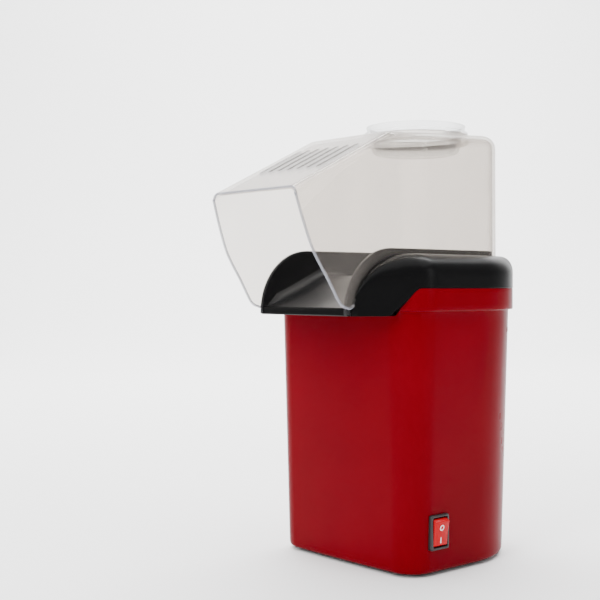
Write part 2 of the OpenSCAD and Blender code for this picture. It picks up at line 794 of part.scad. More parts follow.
module rectifier_diodes() {
    color([0.12, 0.12, 0.12]) for (x = [-9, -3, 3, 9])
        translate([x, -2.6, motor_z - 6 - 1.35]) rotate([-90, 0, 0]) cylinder(h = 5.2, r = 1.35);
}

// Switch -----------------------------------------------------------------------------

module at_switch() {
    translate([0, switch_y, switch_z]) children();
}

module switch_frame() {
    color([0.05, 0.05, 0.05]) at_switch() difference() {
        union() {
            translate([switch_back, -switch_w / 2, -switch_h / 2])
                cube([switch_face - switch_back, switch_w, switch_h]);
            translate([switch_back - well_depth, -window_w / 2 - well_t, -window_h / 2 - well_t])
                cube([well_depth + 1, window_w + 2 * well_t, window_h + 2 * well_t]);
        }
        translate([switch_back - well_depth + 1.5, -window_w / 2, -window_h / 2])
            cube([well_depth + 20, window_w, window_h]);
        translate([rocker_x, 0, 0]) rotate([90, 0, 0])
            cylinder(h = window_w + 1.4, r = rocker_pin_r + run_gap, center = true);
        for (z = [-5, 0, 5]) translate([switch_back - well_depth - 1, -2.5, z - 0.5])
            cube([3, 5, 1]);
    }
}

// Rocker section about its pivot: rounded ends and a shallow valley in its face
module rocker_section() {
    face = 4.95;
    intersection() {
        circle(rocker_r);
        polygon([[face, 12], [face, rocker_r * 0.84], [face - 0.4, 0], [face, -rocker_r * 0.84],
                 [face, -12], [1.6, -12], [-1.2, -6], [-3, -1.8], [-3, 1.8], [-1.2, 6], [1.6, 12]]);
    }
}

module switch_rocker() {
    color([0.8, 0.06, 0.12]) at_switch() translate([rocker_x, 0, 0]) rotate([90, rocker_tilt, 0]) {
        translate([0, 0, -rocker_w / 2]) linear_extrude(rocker_w) rocker_section();
        cylinder(h = window_w + 1, r = rocker_pin_r, center = true);
    }
}

module switch_blades() {
    color([0.8, 0.68, 0.35]) at_switch() for (z = [-5, 5])
        translate([switch_back - well_depth - 7, -2.4, z - 0.4]) cube([9, 4.8, 0.8]);
}

// Leads and gland --------------------------------------------------------------------

module mains_lead() {
    color([0.1, 0.1, 0.1]) tube(smooth_run(mains_path), lead_r);
}

module motor_leads() {
    color([0.7, 0.08, 0.08]) tube(smooth_run(motor_path), lead_r);
}

module heater_leads() {
    color([0.9, 0.9, 0.86]) tube(smooth_run(heater_path), lead_r);
}

// Grommet in the back wall that the mains cord passes through
module cord_gland() {
    out = foot_r + 3;
    color([0.07, 0.07, 0.07]) translate([0, 0, gland_z]) rotate([-90, 0, 0]) difference() {
        union() {
            translate([0, 0, foot_r - wall - 3]) cylinder(h = 2.4, r = gland_in_r + 2);
            translate([0, 0, foot_r - wall - 3])
                cylinder(h = out - foot_r + wall + 3, r = gland_in_r - 0.1);
            translate([0, 0, foot_r + 0.9]) cylinder(h = out - foot_r - 0.9, r = gland_in_r + 1.6);
        }
        translate([0, 0, foot_r - wall - 5]) cylinder(h = 20, r = cord_hole_r);
    }
}

// Base -------------------------------------------------------------------------------

module screw_up(z, length, head_r = screw_head_r) {
    translate([0, 0, z]) cylinder(h = screw_head_h, r = head_r);
    translate([0, 0, z]) cylinder(h = length, r = screw_r - 0.05);
}

module base_plate() {
    color([0.12, 0.12, 0.12]) difference() {
        translate([0, 0, plate_z]) linear_extrude(plate_t)
            housing_plan(draft_in + wall + fit_gap);
        for (r = [10:7:31], i = [0:5]) rotate([0, 0, i * 60 + r * 2])
            translate([r, -(0.36 * r), plate_z - 1]) cube([3, 0.72 * r, 10]);
        for (p = foot_spots) translate([p[0], p[1], plate_z - 1])
            cylinder(h = 2.2, r = foot_pad_r + 0.1);
        for (p = boss_spots) translate([p[0], p[1], plate_z - 1]) screw_hole();
        for (a = leg_angles) rotate([0, 0, a]) translate([leg_at, 0, plate_z - 1]) screw_hole();
    }
}

// Clearance hole with a sunk seat for the screw's head
module screw_hole() {
    cylinder(h = 10, r = screw_r + 0.2);
    cylinder(h = 1 + screw_head_h, r = screw_head_r + 0.2);
}

module feet() {
    color([0.08, 0.08, 0.08]) for (p = foot_spots) translate([p[0], p[1], 0])
        cylinder(h = plate_z + 1.2, r = foot_pad_r);
}

module base_screws() {
    color([0.6, 0.6, 0.62]) for (p = boss_spots) translate([p[0], p[1], 0])
        screw_up(plate_z, boss_h - 4);
}

module deck_screws() {
    color([0.6, 0.6, 0.62]) for (a = leg_angles) rotate([0, 0, a]) translate([leg_at, 0, 0])
        screw_up(plate_z, 16);
}

module motor_screws() {
    color([0.6, 0.6, 0.62]) for (s = [-1, 1]) translate([s * motor_screw_at, 0, 0]) {
        translate([0, 0, deck_top]) cylinder(h = 1.6, r = 2.6);
        translate([0, 0, deck_plate_z - 7.5]) cylinder(h = 11, r = 1.25);
    }
}

module duct_screws() {
    color([0.6, 0.6, 0.62]) ear_spots() screw_up(duct_top - 1 - screw_head_h, 10);
}

module collar_screws() {
    color([0.6, 0.6, 0.62]) for (p = post_spots) translate([p[0], p[1], 0])
        screw_up(shelf_z - screw_head_h, 18);
}

// The hood's mouth and the back of the band are equally far from the origin
centre_y = (mouth_reach + 0.7 - band_r) / 2;

translate([0, centre_y, 0]) {
    main_housing();
    collar_shell();
    chute_liner();
    hood();
    measuring_cup();
    popping_chamber();
    air_duct();
    mica_card_a();
    mica_card_b();
    heater_coil();
    thermostat();
    thermal_fuse();
    fan();
    motor_can();
    motor_shaft();
    fan_deck();
    rectifier_board();
    rectifier_diodes();
    switch_frame();
    switch_rocker();
    switch_blades();
    mains_lead();
    motor_leads();
    heater_leads();
    cord_gland();
    base_plate();
    feet();
    base_screws();
    deck_screws();
    motor_screws();
    duct_screws();
    collar_screws();
}
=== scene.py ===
"""Looks of the hot-air popcorn maker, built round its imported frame.

Sizes are millimetres about the popping chamber's axis: +Z up, the pouring chute towards -Y and
the switch side towards +X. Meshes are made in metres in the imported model's frame, whose origin
lies AXIS_BEHIND in front of that axis.
"""

from __future__ import annotations

import logging
import math
from dataclasses import dataclass, field
from enum import Enum
from typing import Callable, Sequence, Union

import bmesh
import bpy
from mathutils import Matrix, Vector

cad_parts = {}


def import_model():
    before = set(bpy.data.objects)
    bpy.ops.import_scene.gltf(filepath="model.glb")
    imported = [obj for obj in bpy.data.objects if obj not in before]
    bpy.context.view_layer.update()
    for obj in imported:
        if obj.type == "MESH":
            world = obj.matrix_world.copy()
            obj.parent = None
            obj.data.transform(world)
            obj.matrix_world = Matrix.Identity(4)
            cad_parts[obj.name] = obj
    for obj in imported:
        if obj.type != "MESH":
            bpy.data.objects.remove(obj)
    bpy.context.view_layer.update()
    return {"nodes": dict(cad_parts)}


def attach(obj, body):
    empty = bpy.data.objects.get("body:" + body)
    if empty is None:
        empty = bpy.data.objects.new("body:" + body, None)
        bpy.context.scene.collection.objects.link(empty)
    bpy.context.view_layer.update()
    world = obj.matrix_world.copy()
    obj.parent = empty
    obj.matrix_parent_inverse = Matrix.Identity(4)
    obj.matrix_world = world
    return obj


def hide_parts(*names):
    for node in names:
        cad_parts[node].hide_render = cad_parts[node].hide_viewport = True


LOG = logging.getLogger("popcorn_maker")
MM = 0.001
AXIS_BEHIND = 33.6

AXIS = Vector((0.0, AXIS_BEHIND, 0.0))

# Places that several pieces share: (x, y) and the way out to the wall, in degrees.
COLLAR_SCREWS = ((57.7, -19.0, 0), (-57.7, -19.0, 180), (47.27, 33.1, 35), (-47.27, 33.1, 145))
BASE_SCREWS = ((52.99, -53.99), (-52.99, -53.99), (39.81, 39.81), (-39.81, 39.81))
LINER_SCREW_ANGLES = (20, 160, 200, 340)
LINER_SCREW_RADIUS = 49.6

# The Mix node's colour sockets, which share their names with those of its other kinds.
MIX_FACTOR, MIX_LOW, MIX_HIGH, MIX_RESULT = 0, 6, 7, 2

Point2 = tuple[float, float]
Point3 = tuple[float, float, float]
Colour = tuple[float, float, float]
Operand = Union["Signal", float]


# ---------------------------------------------------------------- shader maths


@dataclass(frozen=True)
class Signal:
    """A shader socket that can be used in Python arithmetic."""

    shader: "Shader"
    socket: bpy.types.NodeSocket

    def _math(self, operation: str, *values: Operand) -> "Signal":
        """Adds one Math node.

        Args:
            operation: the Math node's operation.
            values: what its sockets take, in order.

        Returns:
            The node's result.
        """
        return self.shader.node("ShaderNodeMath", {"operation": operation}, list(values))["Value"]

    def __add__(self, other: Operand) -> "Signal":
        """self + other."""
        return self._math("ADD", self, other)

    def __radd__(self, other: float) -> "Signal":
        """other + self."""
        return self._math("ADD", other, self)

    def __sub__(self, other: Operand) -> "Signal":
        """self - other."""
        return self._math("SUBTRACT", self, other)

    def __rsub__(self, other: float) -> "Signal":
        """other - self."""
        return self._math("SUBTRACT", other, self)

    def __mul__(self, other: Operand) -> "Signal":
        """self * other."""
        return self._math("MULTIPLY", self, other)

    def __rmul__(self, other: float) -> "Signal":
        """other * self."""
        return self._math("MULTIPLY", other, self)

    def power(self, exponent: float) -> "Signal":
        """self to a power."""
        return self._math("POWER", self, exponent)

    def ramp(self, low: float, high: float) -> "Signal":
        """Maps low..high to 0..1, clamped.

        Args:
            low: the value that becomes 0.
            high: the value that becomes 1.

        Returns:
            The clamped result.
        """
        settings = {"clamp": True}
        values = {"Value": self, "From Min": low, "From Max": high}
        return self.shader.node("ShaderNodeMapRange", settings, values)["Result"]


class Outputs:
    """A node's output sockets, by name, as signals."""

    def __init__(self, shader: "Shader", made: bpy.types.Node) -> None:
        """Keeps the shader and the node."""
        self.shader = shader
        self.made = made

    def __getitem__(self, name: str | int) -> Signal:
        """The output socket of that name or place."""
        return Signal(self.shader, self.made.outputs[name])


class Shader:
    """A material's node tree, written as expressions."""

    def __init__(self, name: str) -> None:
        """Makes an empty node material.

        Args:
            name: the material's name.
        """
        self.material = bpy.data.materials.new(name)
        self.material.use_nodes = True
        self.tree = self.material.node_tree
        self.tree.nodes.clear()
        self.place = self.node("ShaderNodeTexCoord", {}, {})["Object"]

    def node(self, kind: str, settings: dict, values: dict | list) -> Outputs:
        """Adds any node.

        Args:
            kind: the node's type.
            settings: attributes that are set before the sockets.
            values: numbers, tuples or signals for its inputs, by name, place or in order.

        Returns:
            The node's outputs.
        """
        made = self.tree.nodes.new(kind)
        for key, value in settings.items():
            setattr(made, key, value)
        pairs = enumerate(values) if isinstance(values, list) else values.items()
        for key, value in pairs:
            self.feed(made.inputs[key], value)
        return Outputs(self, made)

    def feed(self, socket: bpy.types.NodeSocket, value: object) -> None:
        """Links a signal to a socket, or sets the socket's own value."""
        if isinstance(value, Signal):
            self.tree.links.new(value.socket, socket)
        elif isinstance(value, tuple) and socket.type == "RGBA":
            socket.default_value = (*value, 1.0)
        else:
            socket.default_value = value

    def scaled(self, factors: Point3) -> Signal:
        """The object coordinate, stretched along each axis."""
        values = [self.place, factors]
        return self.node("ShaderNodeVectorMath", {"operation": "MULTIPLY"}, values)["Vector"]

    def noise(self, scale: float, detail: float = 2.0, stretch: Point3 = (1, 1, 1)) -> Signal:
        """Smooth noise from 0 to 1.

        Args:
            scale: cells in a metre.
            detail: octaves.
            stretch: how much finer the noise is along each axis.

        Returns:
            The noise's factor.
        """
        at = self.place if stretch == (1, 1, 1) else self.scaled(stretch)
        values = {"Vector": at, "Scale": scale, "Detail": detail, "Roughness": 0.55}
        return self.node("ShaderNodeTexNoise", {}, values)["Fac"]

    def blend(self, mask: Operand, low: Colour | Signal, high: Colour | Signal) -> Signal:
        """Mixes two colours.

        Args:
            mask: 0 gives low and 1 gives high.
            low: the first colour.
            high: the second colour.

        Returns:
            The mixed colour.
        """
        values = {MIX_FACTOR: mask, MIX_LOW: low, MIX_HIGH: high}
        return self.node("ShaderNodeMix", {"data_type": "RGBA"}, values)[MIX_RESULT]

    def bump(self, height: Signal, strength: float, depth: float) -> Signal:
        """A bumped normal.

        Args:
            height: the height, from 0 to 1.
            strength: how much of it shows.
            depth: metres from low to high.

        Returns:
            The normal.
        """
        values = {"Strength": strength, "Distance": depth, "Height": height}
        return self.node("ShaderNodeBump", {}, values)["Normal"]

    def close(self, surface: dict) -> bpy.types.Material:
        """Ends the tree in a Principled shader.

        Args:
            surface: its inputs by name.

        Returns:
            The material.
        """
        shader = self.node("ShaderNodeBsdfPrincipled", {}, surface)["BSDF"]
        self.node("ShaderNodeOutputMaterial", {}, {"Surface": shader})
        return self.material


# -------------------------------------------------------------------- finishes


@dataclass(frozen=True)
class Moulded:
    """Moulded plastic or rubber: even colour, a fine grain and faint handling marks."""

    name: str
    colour: Colour
    roughness: float
    grain: float = 0.0
    grain_scale: float = 2600.0
    coat: float = 0.0
    edge_wear: float = 0.0
    specular: float = 0.5

    def material(self) -> bpy.types.Material:
        """Builds the material."""
        shader = Shader(self.name)
        drift = shader.noise(9.0, 3.0)
        smear = shader.noise(24.0, 3.0).ramp(0.2, 0.8)
        dark = tuple(c * 0.86 for c in self.colour)
        light = tuple(min(1.0, c * 1.1 + 0.0004) for c in self.colour)
        colour = shader.blend(drift.ramp(0.3, 0.7), dark, light)
        if self.edge_wear:
            edge = shader.node("ShaderNodeNewGeometry", {}, {})["Pointiness"].ramp(0.53, 0.6)
            worn = tuple(c + self.edge_wear for c in self.colour)
            colour = shader.blend(edge * smear, colour, worn)
        grains = shader.noise(self.grain_scale, 2.0)
        ripple = shader.noise(26.0, 1.0)
        height = grains * self.grain + ripple * 0.05
        surface = {
            "Base Color": colour,
            "Roughness": smear * (self.roughness * 0.06) + self.roughness * 0.97,
            "Specular IOR Level": self.specular,
            "Coat Weight": self.coat,
            "Coat Roughness": 0.05,
            "Normal": shader.bump(height, 0.35, 0.00012),
        }
        return shader.close(surface)


@dataclass(frozen=True)
class Sheet:
    """Bare metal with fine drawn or turned marks."""

    name: str
    colour: Colour
    roughness: float
    stretch: Point3 = (1.0, 1.0, 30.0)
    stain: Colour = (0.25, 0.24, 0.22)
    stain_share: float = 0.25

    def material(self) -> bpy.types.Material:
        """Builds the material."""
        shader = Shader(self.name)
        lines = shader.noise(140.0, 5.0, self.stretch)
        patches = shader.noise(45.0, 3.0).ramp(0.45, 0.8)
        mottled = tuple(c * 0.8 for c in self.colour)
        colour = shader.blend(lines, mottled, self.colour)
        colour = shader.blend(patches * self.stain_share, colour, self.stain)
        surface = {
            "Base Color": colour,
            "Metallic": 1.0,
            "Roughness": lines * 0.16 + patches * 0.1 + self.roughness,
            "Normal": shader.bump(lines, 0.25, 0.00008),
        }
        return shader.close(surface)


@dataclass(frozen=True)
class Clear:
    """Clear polycarbonate: bright along its edges, nearly invisible face on.

    A share of the surface is solid: body of it face on, and up to rim more at a grazing angle.
    The rest lets the light through and gives it the colour of through.
    """

    name: str
    tint: Colour
    roughness: float
    body: float
    rim: float
    through: Colour = (0.985, 0.99, 0.992)

    def material(self) -> bpy.types.Material:
        """Builds the material."""
        shader = Shader(self.name)
        facing = shader.node("ShaderNodeLayerWeight", {}, {"Blend": 0.42})["Facing"]
        haze = shader.noise(34.0, 4.0, (1, 1, 0.5)).ramp(0.3, 0.8)
        ripple = shader.noise(22.0, 1.0)
        normal = shader.bump(ripple, 0.5, 0.0003)
        surface = {
            "Base Color": self.tint,
            "Roughness": haze * 0.05 + self.roughness,
            "Specular IOR Level": 0.9,
            "IOR": 1.58,
            "Normal": normal,
        }
        solid = shader.node("ShaderNodeBsdfPrincipled", {}, surface)["BSDF"]
        clear = shader.node("ShaderNodeBsdfTransparent", {}, {"Color": self.through})["BSDF"]
        weight = facing.power(2.2) * self.rim + (haze * 0.03 + self.body)
        mix = {"Fac": weight, 1: clear, 2: solid}
        shown = shader.node("ShaderNodeMixShader", {}, mix)["Shader"]
        shader.node("ShaderNodeOutputMaterial", {}, {"Surface": shown})
        return shader.material


@dataclass(frozen=True)
class Board:
    """Flaky mica board or a printed circuit board."""

    name: str
    colour: Colour
    fleck: Colour
    scale: float

    def material(self) -> bpy.types.Material:
        """Builds the material."""
        shader = Shader(self.name)
        flakes = shader.node(
            "ShaderNodeTexVoronoi", {}, {"Vector": shader.place, "Scale": self.scale}
        )["Distance"]
        clouds = shader.noise(70.0, 3.0)
        colour = shader.blend(flakes.ramp(0.1, 0.7) * clouds, self.colour, self.fleck)
        surface = {
            "Base Color": colour,
            "Roughness": clouds * 0.2 + 0.4,
            "Normal": shader.bump(flakes, 0.3, 0.0001),
        }
        return shader.close(surface)


class Finish(Enum):
    """Every finish on the popcorn maker."""

    RED_GLOSS = Moulded("crimson_gloss", (0.135, 0.0, 0.0042), 0.28, specular=0.02)
    COLLAR = Moulded("collar_satin", (0.0034, 0.0034, 0.0036), 0.28, grain=0.2, specular=0.05)
    LINER = Moulded("liner_satin", (0.0085, 0.0085, 0.0095), 0.36, 0.4, edge_wear=0.012, specular=0.3)
    HOOD = Clear("hood_clear", (0.36, 0.33, 0.31), 0.05, 0.07, 0.75, (0.885, 0.862, 0.835))
    # The mouth bead is the hood's own clear plastic, drawn darker, bluer and more solid: painted shade
    # for the dark line along the mouth edge.
    RIM_CLEAR_SHADED = Clear("rim_bead_clear_with_painted_shade", (0.27, 0.28, 0.34), 0.04, 0.48, 0.6)
    CUP = Clear("cup_clear", (0.40, 0.38, 0.37), 0.05, 0.07, 0.6)
    # Painted shade: the steam slots' cut walls are the hood's own clear plastic, drawn near black and
    # half solid to give their dark look.
    VENT_SHADE = Clear("vent_edge_painted_shade", (0.035, 0.033, 0.035), 0.12, 0.55, 0.2)
    SWITCH = Moulded("switch_black", (0.007, 0.007, 0.0075), 0.4, grain=0.3)
    ROCKER = Moulded("rocker_red", (0.46, 0.002, 0.008), 0.26, specular=0.08)
    MARK = Moulded("mark_white", (0.86, 0.84, 0.83), 0.45)
    RUBBER = Moulded("black_rubber", (0.011, 0.011, 0.011), 0.62, grain=0.8)
    BASE = Moulded("base_black", (0.013, 0.013, 0.013), 0.5, grain=0.7)
    NYLON = Moulded("fan_nylon", (0.60, 0.60, 0.56), 0.45, grain=0.3)
    DECK = Moulded("deck_black", (0.02, 0.02, 0.021), 0.5, grain=0.5)
    SENSOR = Moulded("sensor_phenolic", (0.045, 0.035, 0.028), 0.5, grain=0.6)
    EPOXY = Moulded("diode_epoxy", (0.012, 0.012, 0.012), 0.3)
    LEAD_BLACK = Moulded("lead_black", (0.012, 0.012, 0.012), 0.55)
    LEAD_RED = Moulded("lead_red", (0.42, 0.02, 0.02), 0.55)
    LEAD_WHITE = Moulded("lead_white", (0.70, 0.70, 0.66), 0.6)
    CHAMBER = Sheet("chamber_aluminium", (0.78, 0.78, 0.79), 0.24, (1.0, 1.0, 26.0))
    DUCT = Sheet("duct_galvanised", (0.60, 0.61, 0.62), 0.34, (1.0, 1.0, 1.0))
    ZINC = Sheet("motor_zinc", (0.66, 0.67, 0.68), 0.3, (1.0, 1.0, 20.0))
    STEEL = Sheet("screw_steel", (0.62, 0.62, 0.64), 0.3, (1.0, 1.0, 12.0))
    HOT_WIRE = Sheet("heater_wire", (0.34, 0.29, 0.25), 0.42, (1.0, 1.0, 60.0), (0.1, 0.06, 0.05), 0.6)
    BRASS = Sheet("blade_brass", (0.80, 0.58, 0.26), 0.28, (1.0, 14.0, 1.0))
    TIN = Sheet("fuse_tin", (0.72, 0.70, 0.66), 0.3)
    MICA = Board("mica_board", (0.36, 0.28, 0.16), (0.62, 0.54, 0.38), 900.0)
    CIRCUIT = Board("circuit_board", (0.015, 0.10, 0.03), (0.05, 0.22, 0.08), 500.0)


CAD_FINISHES: dict[str, Finish] = {
    "popping_chamber": Finish.CHAMBER,
    "air_duct": Finish.DUCT,
    "mica_card_a": Finish.MICA,
    "mica_card_b": Finish.MICA,
    "heater_coil": Finish.HOT_WIRE,
    "thermostat": Finish.SENSOR,
    "thermal_fuse": Finish.TIN,
    "fan": Finish.NYLON,
    "motor_can": Finish.ZINC,
    "motor_shaft": Finish.STEEL,
    "fan_deck": Finish.DECK,
    "rectifier_board": Finish.CIRCUIT,
    "rectifier_diodes": Finish.EPOXY,
    "switch_blades": Finish.BRASS,
    "mains_lead": Finish.LEAD_BLACK,
    "motor_leads": Finish.LEAD_RED,
    "heater_leads": Finish.LEAD_WHITE,
    "base_plate": Finish.BASE,
    "base_screws": Finish.STEEL,
    "deck_screws": Finish.STEEL,
    "motor_screws": Finish.STEEL,
    "duct_screws": Finish.STEEL,
    "collar_screws": Finish.STEEL,
}


class Paint:
    """Makes each finish's material once."""

    def __init__(self) -> None:
        """Starts with no materials."""
        self.made: dict[Finish, bpy.types.Material] = {}

    def of(self, finish: Finish) -> bpy.types.Material:
        """The material of a finish."""
        if finish not in self.made:
            self.made[finish] = finish.value.material()
        return self.made[finish]


# --------------------------------------------------------------- mesh building


def arc(centre: Point2, radius: float, start: float, end: float, steps: int) -> list[Point2]:
    """Points along an arc.

    Args:
        centre: its centre.
        radius: its radius.
        start: first angle, in degrees.
        end: last angle, in degrees.
        steps: number of spans.

    Returns:
        steps + 1 points.
    """
    turns = [math.radians(start + (end - start) * i / steps) for i in range(steps + 1)]
    return [(centre[0] + radius * math.cos(t), centre[1] + radius * math.sin(t)) for t in turns]


def line(start: Point2, end: Point2, steps: int) -> list[Point2]:
    """Points inside a straight run, without its two ends."""
    shares = [i / steps for i in range(1, steps)]
    return [(start[0] + (end[0] - start[0]) * s, start[1] + (end[1] - start[1]) * s) for s in shares]


def smoothstep(low: float, high: float, value: float) -> float:
    """0 below low, 1 above high, and a smooth climb between."""
    share = min(1.0, max(0.0, (value - low) / (high - low)))
    return share * share * (3 - 2 * share)


class Solid:
    """A mesh under construction, in millimetres."""

    def __init__(self, name: str) -> None:
        """Starts an empty mesh.

        Args:
            name: the piece's name.
        """
        self.name = name
        self.vertices: list[Point3] = []
        self.faces: list[tuple[int, ...]] = []

    def rows(self, rows: Sequence[Sequence[Point3]], closed: bool, ends: bool = False) -> "Solid":
        """Adds a lofted sheet.

        Args:
            rows: rings or rows of points, each of the same length.
            closed: whether each row joins its own end.
            ends: whether the first and last rows are closed with a face.

        Returns:
            Itself.
        """
        base = len(self.vertices)
        width = len(rows[0])
        for row in rows:
            self.vertices.extend(row)
        spans = width if closed else width - 1
        for r in range(len(rows) - 1):
            for k in range(spans):
                a = base + r * width + k
                b = base + r * width + (k + 1) % width
                self.faces.append((a, b, b + width, a + width))
        if ends:
            last = base + (len(rows) - 1) * width
            self.faces.append(tuple(range(base + width - 1, base - 1, -1)))
            self.faces.append(tuple(range(last, last + width)))
        return self

    def lathe(self, profile: Sequence[Point2], centre: Point2 = (0, 0), steps: int = 96) -> "Solid":
        """Adds a turned form from a closed outline of (radius, height) points."""
        rows = []
        for radius, height in [*profile, profile[0]]:
            rows.append([(x, y, height) for x, y in arc(centre, radius, 0, 360, steps)[:-1]])
        return self.rows(rows, True)

    def prism(self, outline: Sequence[Point2], low: float, high: float, axis: str = "Z") -> "Solid":
        """Adds an extruded outline.

        Args:
            outline: points in the plane across the axis: XY for Z, YZ for X.
            low: start of the extrusion.
            high: end of the extrusion.
            axis: Z or X.

        Returns:
            Itself.
        """
        def place(p: Point2, at: float) -> Point3:
            """A point of the outline at one end."""
            return (p[0], p[1], at) if axis == "Z" else (at, p[0], p[1])

        rows = [[place(p, at) for p in outline] for at in (low, high)]
        return self.rows(rows, True, True)

    def build(self, turn: Callable[[Vector], Vector] | None = None) -> bpy.types.Object:
        """Makes the Blender object, with its normals outwards.

        Args:
            turn: moves each point first, if given.

        Returns:
            The object.
        """
        mesh = bpy.data.meshes.new(self.name)
        points = [Vector(v) for v in self.vertices]
        if turn:
            points = [turn(p) for p in points]
        mesh.from_pydata([(p + AXIS) * MM for p in points], [], self.faces)
        edit = bmesh.new()
        edit.from_mesh(mesh)
        bmesh.ops.remove_doubles(edit, verts=edit.verts, dist=0.004 * MM)
        bmesh.ops.dissolve_degenerate(edit, edges=edit.edges, dist=0.002 * MM)
        bmesh.ops.recalc_face_normals(edit, faces=edit.faces)
        edit.to_mesh(mesh)
        edit.free()
        made = bpy.data.objects.new(self.name, mesh)
        bpy.context.scene.collection.objects.link(made)
        return made


def apply_modifier(piece: bpy.types.Object, kind: str, **settings: object) -> None:
    """Adds a modifier to a piece and applies it.

    Args:
        piece: the object.
        kind: the modifier's type.
        settings: its attributes.
    """
    modifier = piece.modifiers.new(kind.lower(), kind)
    for key, value in settings.items():
        setattr(modifier, key, value)
    graph = bpy.context.evaluated_depsgraph_get()
    mesh = bpy.data.meshes.new_from_object(piece.evaluated_get(graph))
    piece.modifiers.clear()
    old = piece.data
    piece.data = mesh
    mesh.name = piece.name
    bpy.data.meshes.remove(old)


def combine(piece: bpy.types.Object, other: bpy.types.Object, operation: str) -> None:
    """Changes a piece by another object, which is used up.

    Args:
        piece: the object that is kept.
        other: the object that is taken away or added.
        operation: DIFFERENCE or UNION.
    """
    apply_modifier(piece, "BOOLEAN", object=other, operation=operation, solver="EXACT")
    bpy.data.objects.remove(other)


def carve(piece: bpy.types.Object, tool: Solid, turn: Callable[[Vector], Vector] | None = None) -> None:
    """Cuts a tool's form out of a piece, after moving each of its points if turn is given."""
    combine(piece, tool.build(turn), "DIFFERENCE")


def soften(piece: bpy.types.Object, angle: float) -> None:
    """Shades a piece smooth, with crisp edges where faces meet at more than an angle."""
    piece.data.polygons.foreach_set("use_smooth", [True] * len(piece.data.polygons))
    piece.data.set_sharp_from_angle(angle=math.radians(angle))


def weigh_normals(piece: bpy.types.Object) -> None:
    """Lets large flat faces keep their shading beside narrow rounded ones."""
    apply_modifier(piece, "WEIGHTED_NORMAL", keep_sharp=True, weight=60)


def dress(piece: bpy.types.Object, material: bpy.types.Material) -> None:
    """Gives a piece one material, in place of any that it has."""
    piece.data.materials.clear()
    piece.data.materials.append(material)


def join(parts: Sequence[bpy.types.Object], name: str) -> bpy.types.Object:
    """Joins several objects into one, keeping their materials."""
    bpy.ops.object.select_all(action="DESELECT")
    for part in parts:
        part.select_set(True)
    bpy.context.view_layer.objects.active = parts[0]
    bpy.ops.object.join()
    parts[0].name = name
    parts[0].data.name = name
    return parts[0]


def seat(piece: bpy.types.Object, body: str, slot: str, *nodes: str) -> None:
    """Rides a piece on its body, hides the nodes that it stands for and logs them."""
    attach(piece, body)
    if nodes:
        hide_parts(*nodes)
    LOG.info("%s rides on %s and stands for %s", piece.name, body, ", ".join(nodes) or "no node")


def complete(
    piece: bpy.types.Object,
    angle: float,
    material: bpy.types.Material,
    body: str,
    slot: str,
    *nodes: str,
) -> None:
    """Shades a piece smooth, gives it its material and seats it.

    Args:
        piece: the object.
        angle: faces that meet at more than this many degrees keep a crisp edge.
        material: its material.
        body: the body that it rides on.
        slot: the material slot's name; it is not used.
        nodes: the nodes that it stands for.
    """
    soften(piece, angle)
    dress(piece, material)
    seat(piece, body, slot, *nodes)


# -------------------------------------------------------------------- outlines


def belt(circles: Sequence[tuple[Point2, float]], arc_steps: int, line_steps: int) -> list[Point2]:
    """The outline of a belt round circles, anticlockwise, with the same count for any radii.

    Args:
        circles: centres and radii, in anticlockwise order.
        arc_steps: spans on each circle.
        line_steps: spans on each straight run.

    Returns:
        The outline's points.
    """
    count = len(circles)
    normals = []
    for i, (centre, radius) in enumerate(circles):
        after, after_radius = circles[(i + 1) % count]
        run = (after[0] - centre[0], after[1] - centre[1])
        lean = math.acos((radius - after_radius) / math.hypot(*run))
        normals.append(math.degrees(math.atan2(run[1], run[0]) - lean))
    points: list[Point2] = []
    for i, (centre, radius) in enumerate(circles):
        start = normals[i - 1]
        end = start + (normals[i] - start) % 360
        points.extend(arc(centre, radius, start, end, arc_steps))
        after, after_radius = circles[(i + 1) % count]
        turn = math.radians(end)
        begin = (after[0] + after_radius * math.cos(turn), after[1] + after_radius * math.sin(turn))
        points.extend(line(points[-1], begin, line_steps))
    return points


def rounded_box(half_a: float, half_b: float, radius: float, steps: int = 6) -> list[Point2]:
    """A rectangle with rounded corners, about the origin."""
    corners = [(1, -1, -90), (1, 1, 0), (-1, 1, 90), (-1, -1, 180)]
    points: list[Point2] = []
    for a, b, start in corners:
        centre = (a * (half_a - radius), b * (half_b - radius))
        points.extend(arc(centre, radius, start, start + 90, steps))
    return points


def slope_between(stops: Sequence[Point2], value: float) -> float:
    """Reads a piecewise straight curve.

    Args:
        stops: (input, output) pairs in rising order.
        value: the input.

    Returns:
        The output, held beyond both ends.
    """
    for (low, first), (high, last) in zip(stops, stops[1:]):
        if value <= high:
            share = min(1.0, max(0.0, (value - low) / (high - low)))
            return first + (last - first) * share
    return stops[-1][1]


def round_reach(way: Point2, centre: Point2, radius: float, reach: float) -> float:
    """How far a ray from the origin runs inside a rectangle with one rounded corner.

    Args:
        way: the ray's unit direction, towards the corner.
        centre: the corner's centre.
        radius: the corner's radius.
        reach: how far the ray would run if the corner were square.

    Returns:
        The length.
    """
    mid = way[0] * centre[0] + way[1] * centre[1]
    room = mid * mid - (centre[0] * centre[0] + centre[1] * centre[1] - radius * radius)
    if way[0] * reach > centre[0] and way[1] * reach > centre[1] and room > 0:
        return min(reach, mid + math.sqrt(room))
    return reach


# ---------------------------------------------------------------------- pieces


